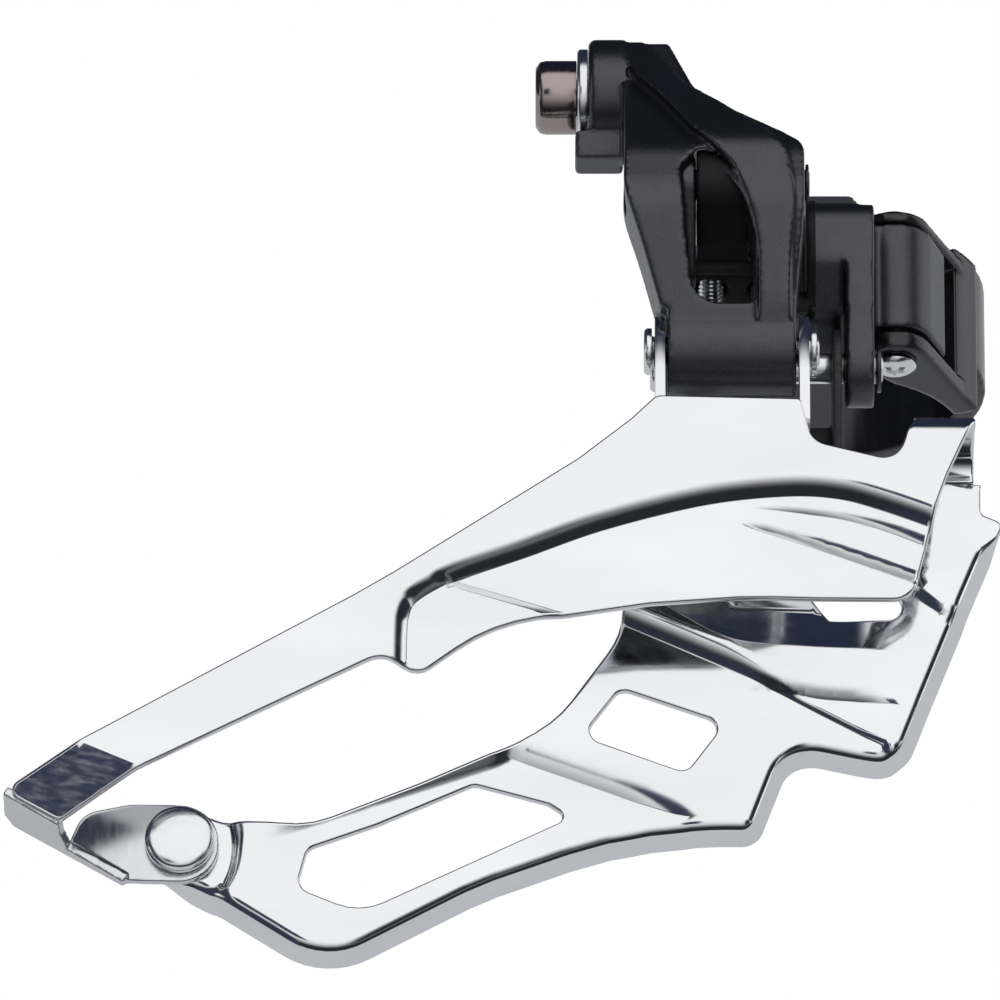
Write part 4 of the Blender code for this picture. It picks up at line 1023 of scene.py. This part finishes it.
def make_outer_link():
    link = prism("outer_link", rounded(ARM_SIDE), -27.0, 0.0)
    front = prism("front", rounded(ARM_FRONT), 0.0, 60.0, "y")
    combine(link, front, "INTERSECT")
    barrel = turned("barrel", [(BARREL_X[0], BARREL_R), (BARREL_X[1], BARREL_R)], (0.0, *Q1), count=72)
    boss = turned("boss", [(BOSS_X[0], BOSS_R - 0.5), (BOSS_X[0] + 0.5, BOSS_R), (BOSS_X[1] + 0.2, BOSS_R)],
                  (0.0, *ANCHOR), count=72)
    knuckles = []
    for low, high in ((-17.7, -14.8), (-8.2, -3.2)):
        knuckles.append(turned("knuckle", [(low, 4.3), (high, 4.3)], (0.0, *P1), count=72))
    rib = prism("rib", rounded(RIB_SIDE), -27.0, 0.0)
    combine(rib, prism("strip", rounded(RIB_FRONT), 0.0, 60.0, "y"), "INTERSECT")
    join(link, barrel, boss, rib, *knuckles)
    window = prism("window", rounded(ARM_WINDOW), 25.0, 60.0, "y")
    bay = lug(P1, 4.3, [(22.5, 9.4), (24.0, -12.0)])
    cut(link, window)
    flank = lug(P1, 2.9, [(34.8, -10.5), (37.6, -10.5)])
    cut(link, prism("bay", bay, KNUCKLE_X[0] - 0.35, KNUCKLE_X[1] + 0.35))
    join(link, prism("flank", flank, -17.7, KNUCKLE_X[0] - 0.08))
    cut(link, bore(P1, BARREL_X[0], 3.2))
    # room for the cage's rear ear, which turns about the barrel's axis
    cut(link, bore(Q1, BARREL_X[0] - 0.02, EAR_CLEARANCE_R))
    cut(link, bore(P1), bore(Q1), bore(ANCHOR, -19.8, ANCHOR_HOLE_R, -30.0))
    hook = prism("hook", vectors(((28.2, 12.9), (22.2, 12.7), (22.8, 9.9), (27.6, 9.7))), -27.8, -22.4)
    join(link, hook)
    dress(link, "outer_link", BLACK, 0.26)


# Inner link, a pressed steel channel

INNER_EARS = ((-15.4, -14.3), (0.7, 1.8))


def make_inner_link():
    outline = hull(circle(P2, 4.4) + circle(Q2, 4.0))
    link = prism("inner_link", outline, *INNER_EARS[0])
    join(link, prism("ear", outline, *INNER_EARS[1]))
    down = (Vector(Q2) - Vector(P2)).normalized()
    across = Vector((-down.y, down.x))
    if across.x > 0:
        across = -across
    first = Vector(P2) + down * 6.0
    last = Vector(Q2) - down * 5.6
    near = 2.8
    far = near + 1.1
    web = [first + across * near, last + across * near, last + across * far, first + across * far]
    join(link, prism("web", web, INNER_EARS[0][0] + 0.2, INNER_EARS[1][1] - 0.2))
    for pivot in (P2, Q2):
        cut(link, bore(pivot, 8.0))
    dress(link, "inner_link", ROUGH, 0.20)


# Clamp body

SCREW_OUT = 31.5
SCREW_X = {"low": -12.8, "high": -6.9}
SCREW_R = 1.45
SCREW_TOP = -4.3
KNUCKLE_X = (-14.4, -8.6)


def make_clamp_body():
    arc = sector(TUBE_R - 0.9, SADDLE_R, 50.0, SPLIT_DEG - SPLIT_HALF_DEG, 90)
    saddle = prism("clamp_body", arc, -7.2, CLAMP_TOP, "z")
    arc = sector(TUBE_R - 0.7, SADDLE_R + 0.6, 50.5, 122.0, 48)
    skirt = prism("skirt", arc, SADDLE_LOW, CLAMP_TOP, "z")
    hinge = turned("hinge", [(HINGE_LOW, 4.2), (HINGE_TOP, 4.2)], (HINGE[0], HINGE[1], 0.0), "z", 72)
    cover = lug(HINGE, 4.3, [polar(20.9, 49.0), polar(17.0, 48.0)])
    panel = prism("panel", cover, HINGE_LOW, HINGE_TOP, "z")
    join(saddle, skirt, hinge, panel)
    # hood over the linkage and the two lugs of the inner link's pivot
    hood = [(15.1, -11.9, 0.0), (16.0, 7.1, 3.0), (22.5, 7.6, 4.0), (29.6, 2.6, 4.0), (30.0, -4.0, 2.0),
            (26.0, -9.0, 3.0), (20.4, -11.9, 0.0)]
    join(saddle, prism("hood", rounded(hood), -2.15, 5.5))
    block = [(15.0, -11.8, 0.0), (15.0, -4.6, 0.0), (22.0, -4.6, 1.5), (27.0, -6.6, 1.5), (26.6, -9.6, 1.0),
             (20.4, -9.9, 1.0), (20.0, -11.8, 0.0)]
    join(saddle, prism("block", rounded(block), -17.6, -1.8))
    rear = lug(P2, 4.4, [(18.6, -8.0), (28.8, -8.0)])
    front = lug(P2, 4.4, [(18.4, -6.0), (30.0, -4.0)])
    join(saddle, prism("lug", rear, -18.1, -15.8), prism("lug", front, 2.2, 5.4))
    brace = vectors(((8.0, -2.0), (16.0, -4.7), (25.8, -7.2), (17.3, -9.7)))
    join(saddle, prism("brace", brace, -17.9, -15.7))
    web = lug(P1, 3.9, [(24.0, -7.2), (26.4, -9.4)])
    join(saddle, prism("web", web, *KNUCKLE_X))
    shelf = [(24.0, -9.3), (34.2, -8.6), (34.2, -6.4), (24.0, -6.9)]
    join(saddle, prism("shelf", vectors(shelf), -16.2, -3.6))
    join(saddle, bolt_lug(-1.0))
    cut(saddle, *body_holes())
    dress(saddle, "clamp_body", BLACK, 0.30)
    # painted shade: the recess faces picked below get a near-black that stands in for the shade there
    saddle.data.materials.append(PAINTED_SHADE)
    for face in saddle.data.polygons:
        if -14.8 < face.center.x / MM < -1.0 and face.center.y / MM < -26.5:
            face.material_index = 1


def body_holes():
    """What is cut from the clamp body: bores, the limit screws' holes and room for the band's ears."""
    tube, hinge_bore, bolt_bore = shared_holes()
    bores = [tube, bore(P1, 8.0), bore(P2, 8.0), hinge_bore]
    for x in SCREW_X.values():
        seat = SCREW_TOP - 2.1
        profile = [(-14.0, SCREW_R + 0.35), (seat, SCREW_R + 0.35), (seat, 2.7), (4.0, 2.7)]
        bores.append(turned("bore", profile, (x, SCREW_OUT, 0.0), "z", 60))
    for low, high in ((-15.0, -9.45), (3.45, 12.0)):
        bores.append(prism("relief", sector(TUBE_R - 3.0, 29.0, 15.0, 82.0, 8), low, high, "z"))
    return bores + [bolt_bore]


def bolt_lug(sign):
    """The lug for the clamp bolt on one side of the split."""
    angle = SPLIT_DEG + sign * SPLIT_HALF_DEG
    toward = polar(1.0, angle)
    across = polar(1.0, angle + sign * 90.0) * LUG_THICK
    root = toward * (TUBE_R + 0.6)
    tip = toward * LUG_OUT
    return prism("bolt_lug", [root, tip, tip + across, root + across], -5.6, 5.6, "z")


def clamp_axis():
    """Middle of the clamp bolt's hole and the direction from its head to its nut, as (x, out)."""
    return polar(LUG_OUT - 4.2, SPLIT_DEG), polar(1.0, SPLIT_DEG - 90.0)


def slanted(name, profile, count=72):
    """A turned solid about the clamp bolt's axis, along measured from the split towards the nut."""
    middle, along = clamp_axis()
    item = turned(name, profile, (0.0, 0.0, 0.0), "x", count)
    for vertex in item.data.vertices:
        x, y, z = vertex.co
        across = Vector((along.y, -along.x))
        flat = middle * MM + along * x + across * (-y)
        vertex.co = (flat.x, -flat.y, z)
    face_out(item.data)
    return item


def clamp_bore(radius):
    return slanted("bore", [(-16.0, radius), (16.0, radius)], 60)


def shared_holes():
    """The tube's room, the hinge pin's bore and the clamp bolt's bore."""
    tube = turned("tube", [(-30.0, TUBE_R), (30.0, TUBE_R)], (0.0, 0.0, 0.0), "z", 72)
    profile = [(-14.0, HINGE_PIN_R + GAP), (9.0, HINGE_PIN_R + GAP)]
    pin = turned("bore", profile, (*HINGE, 0.0), "z", 60)
    return tube, pin, clamp_bore(CLAMP_BOLT_R + GAP + 0.1)


# Hinged band

BAND_START = 38.0


def make_clamp_band():
    arc = sector(TUBE_R - 0.9, BAND_R, SPLIT_HALF_DEG - SPLIT_LEFT, BAND_START, 90)
    band = prism("clamp_band", arc, BAND_LOW, 6.6, "z")
    post = prism("post", sector(TUBE_R - 0.7, BAND_R + 0.4, 22.0, BAND_START, 16), -11.9, 6.5, "z")
    join(band, post)
    roots = [polar(TUBE_R - 0.5, 34.0), polar(BAND_R + 0.3, 30.0), polar(TUBE_R - 0.5, 30.0)]
    for low, high in ((3.75, 5.1), (-11.9, -9.75)):
        join(band, prism("ear", lug(HINGE, 3.9, roots), low, high, "z"))
    join(band, bolt_lug(1.0))
    cut(band, *shared_holes())
    dress(band, "clamp_band", GLOSS, 0.28)


# Pins, screws, spring


def headed_pin(name, pivot, low, high, head, head_r, material=ZINC):
    """A pin with a head at its rear end and a peened front end."""
    profile = [(low - head, head_r - 0.3), (low - head + 0.3, head_r), (low, head_r), (low, PIN_R),
               (high - 0.3, PIN_R), (high, PIN_R - 0.3)]
    item = turned(name, profile, (0.0, *pivot), count=60)
    dress(item, name, material)


def clip(name, pivot, low, high, outer_r, inner_r, material=ZINC):
    """A flat ring round the end of a pin."""
    item = turned(name, [(low, outer_r), (high, outer_r)], (0.0, *pivot), count=60)
    cut(item, bore(pivot, high + 1, inner_r, low - 1))
    dress(item, name, material)


def make_pins():
    headed_pin("outer_link_cage_pin", Q1, -19.4, -0.9, 0.9, 2.6)
    clip("cage_pin_clip", Q1, -1.8, -1.2, 2.9, PIN_R + GAP)
    headed_pin("outer_link_body_pin", P1, -18.0, -1.9, 0.8, 2.6, BLACK)
    clip("body_pin_clip", P1, -2.35, -2.0, 2.3, PIN_R + GAP, BLACK)
    headed_pin("inner_link_body_pin", P2, -18.7, 6.4, 0.8, 2.6)
    clip("inner_pin_clip", P2, 5.7, 6.2, 2.7, PIN_R + GAP, BLACK)
    headed_pin("inner_link_cage_pin", Q2, -15.7, 3.0, 0.8, 2.6)
    clip("cage_inner_pin_clip", Q2, 2.1, 2.7, 2.9, PIN_R + GAP)
    pin = turned("band_hinge_pin", [(-12.9, 1.8), (-12.5, 2.4), (-12.2, 2.4), (-12.2, HINGE_PIN_R),
                                    (5.4, HINGE_PIN_R), (5.4, 2.4), (5.9, 2.2)], (*HINGE, 0.0), "z", 60)
    star = [Vector(HINGE) + polar(1.35 if k % 2 else 0.85, 30 * k) for k in range(12)]
    cut(pin, prism("star", star, -14.0, -12.5, "z"))
    dress(pin, "band_hinge_pin", ZINC)
    face = TAB_FACE + 0.3
    back = level_at(inner_face, *RIVET) - SHEET - 0.3
    profile = [(back - 1.1, 2.2), (back - 0.8, 2.9), (back, 3.1), (back, 1.55), (face, 1.55),
               (face, 3.8), (face + 1.1, 3.75), (face + 1.42, 3.55), (face + 1.58, 3.1),
               (face + 1.66, 2.2), (face + 1.7, 0.0)]
    rivet = turned("tail_rivet", profile, (RIVET[0], 0.0, RIVET[1]), "y", 72)
    dress(rivet, "tail_rivet", ZINC)


def grooved(low, high, radius, pitch):
    """The shank of a screw from low to high."""
    count = round((high - low) / pitch)
    rows = []
    for k in range(count):
        at = low + (high - low) * k / count
        rows += [(at, radius - 0.28), (at + 0.45 * pitch, radius), (at + 0.55 * pitch, radius)]
    return rows


def make_limit_screws():
    for kind, x in SCREW_X.items():
        head = [(-1.8, SCREW_R), (-1.8, 2.35), (-0.4, 2.35), (0.0, 1.9)]
        profile = [(-9.4, 1.0)] + grooved(-9.0, -2.2, SCREW_R, 0.5) + head
        screw = turned(f"{kind}_limit_screw", profile, (x, SCREW_OUT, SCREW_TOP), "z", 60)
        low, high = SCREW_OUT - 0.3, SCREW_OUT + 0.3
        slot = vectors(((x - 1.5, low), (x + 1.5, low), (x + 1.5, high), (x - 1.5, high)))
        cut(screw, prism("slot", slot, SCREW_TOP - 0.9, 1.0, "z"))
        dress(screw, f"{kind}_limit_screw", ZINC)


def make_anchor():
    washer_x = BOSS_X[0] - 0.06
    washer = turned("cable_clamp_washer", [(washer_x - 1.2, 5.2), (washer_x - 0.9, 5.45), (washer_x, 5.45)],
                    (0.0, *ANCHOR), count=72)
    cut(washer, bore(ANCHOR, -20.0, ANCHOR_HOLE_R, -40.0))
    dress(washer, "cable_clamp_washer", ZINC)
    head = washer_x - 1.26
    profile = [(head - 4.6, 3.3), (head - 4.1, 4.0), (head - 3.4, 4.15), (head, 4.15), (head, 2.0),
               (-20.4, 2.0)]
    bolt = turned("cable_anchor_bolt", profile, (0.0, *ANCHOR), count=72)
    socket = prism("socket", [Vector(ANCHOR) + polar(2.3, 60 * k) for k in range(6)], head - 6.0, head - 2.2)
    cut(bolt, socket)
    dress(bolt, "cable_anchor_bolt", NICKEL)


def make_clamp_bolt():
    profile = [(-10.6, 3.7), (-10.1, 4.2), (-6.6, 4.2), (-6.6, CLAMP_BOLT_R),
               (2.0, CLAMP_BOLT_R)] + grooved(2.2, 9.0, CLAMP_BOLT_R, 0.8) + [(9.4, 2.0)]
    bolt = slanted("clamp_bolt", profile)
    dress(bolt, "clamp_bolt", ZINC)
    washer = slanted("clamp_washer", [(-6.3, 4.8), (-5.4, 4.8)])
    cut(washer, clamp_bore(CLAMP_BOLT_R + GAP))
    dress(washer, "clamp_washer", ZINC)
    nut = slanted("clamp_nut", [(5.5, 4.1), (8.4, 4.1)], 6)
    cut(nut, clamp_bore(CLAMP_BOLT_R + GAP))
    dress(nut, "clamp_nut", ZINC)


SPRING_R = 3.9
SPRING_WIRE_R = 0.6


def make_spring():
    """A torsion spring round the inner link's body pivot, one leg on each of the two links' parts."""
    turns, low, high = 3.6, -11.6, -4.6
    path = []
    steps = round(turns * 40)
    for k in range(steps + 1):
        angle = math.radians(250.0) + 2 * math.pi * k / 40
        spot = Vector(P2) + Vector((math.cos(angle), math.sin(angle))) * SPRING_R
        path.append(Vector((low + (high - low) * k / steps, spot.x, spot.y)))
    first = path[0] + Vector((0.0, -0.24, -0.97)) * 7.5
    path.insert(0, first)
    last = path[-1] + Vector((0.0, -0.35, 0.94)) * 1.2
    path.append(last)
    verts, faces = [], []
    sides = 16
    for i, here in enumerate(path):
        ahead = path[min(i + 1, len(path) - 1)] - path[max(i - 1, 0)]
        ahead.normalize()
        up = Vector((1.0, 0.0, 0.0)) - ahead * ahead.x
        up.normalize()
        over = ahead.cross(up)
        for k in range(sides):
            angle = 2 * math.pi * k / sides
            verts.append(tuple(here + (up * math.cos(angle) + over * math.sin(angle)) * SPRING_WIRE_R))
    for i in range(len(path) - 1):
        for k in range(sides):
            a, b = i * sides + k, i * sides + (k + 1) % sides
            faces.append([a, b, b + sides, a + sides])
    faces.append(list(reversed(range(sides))))
    faces.append([len(verts) - sides + k for k in range(sides)])
    item = new_object("return_spring", verts, faces)
    dress(item, "return_spring", ZINC)


def main():
    make_camera()
    make_world()
    make_floor()
    make_cage()
    make_outer_link()
    make_inner_link()
    make_clamp_body()
    make_clamp_band()
    make_pins()
    make_limit_screws()
    make_anchor()
    make_clamp_bolt()
    make_spring()


main()
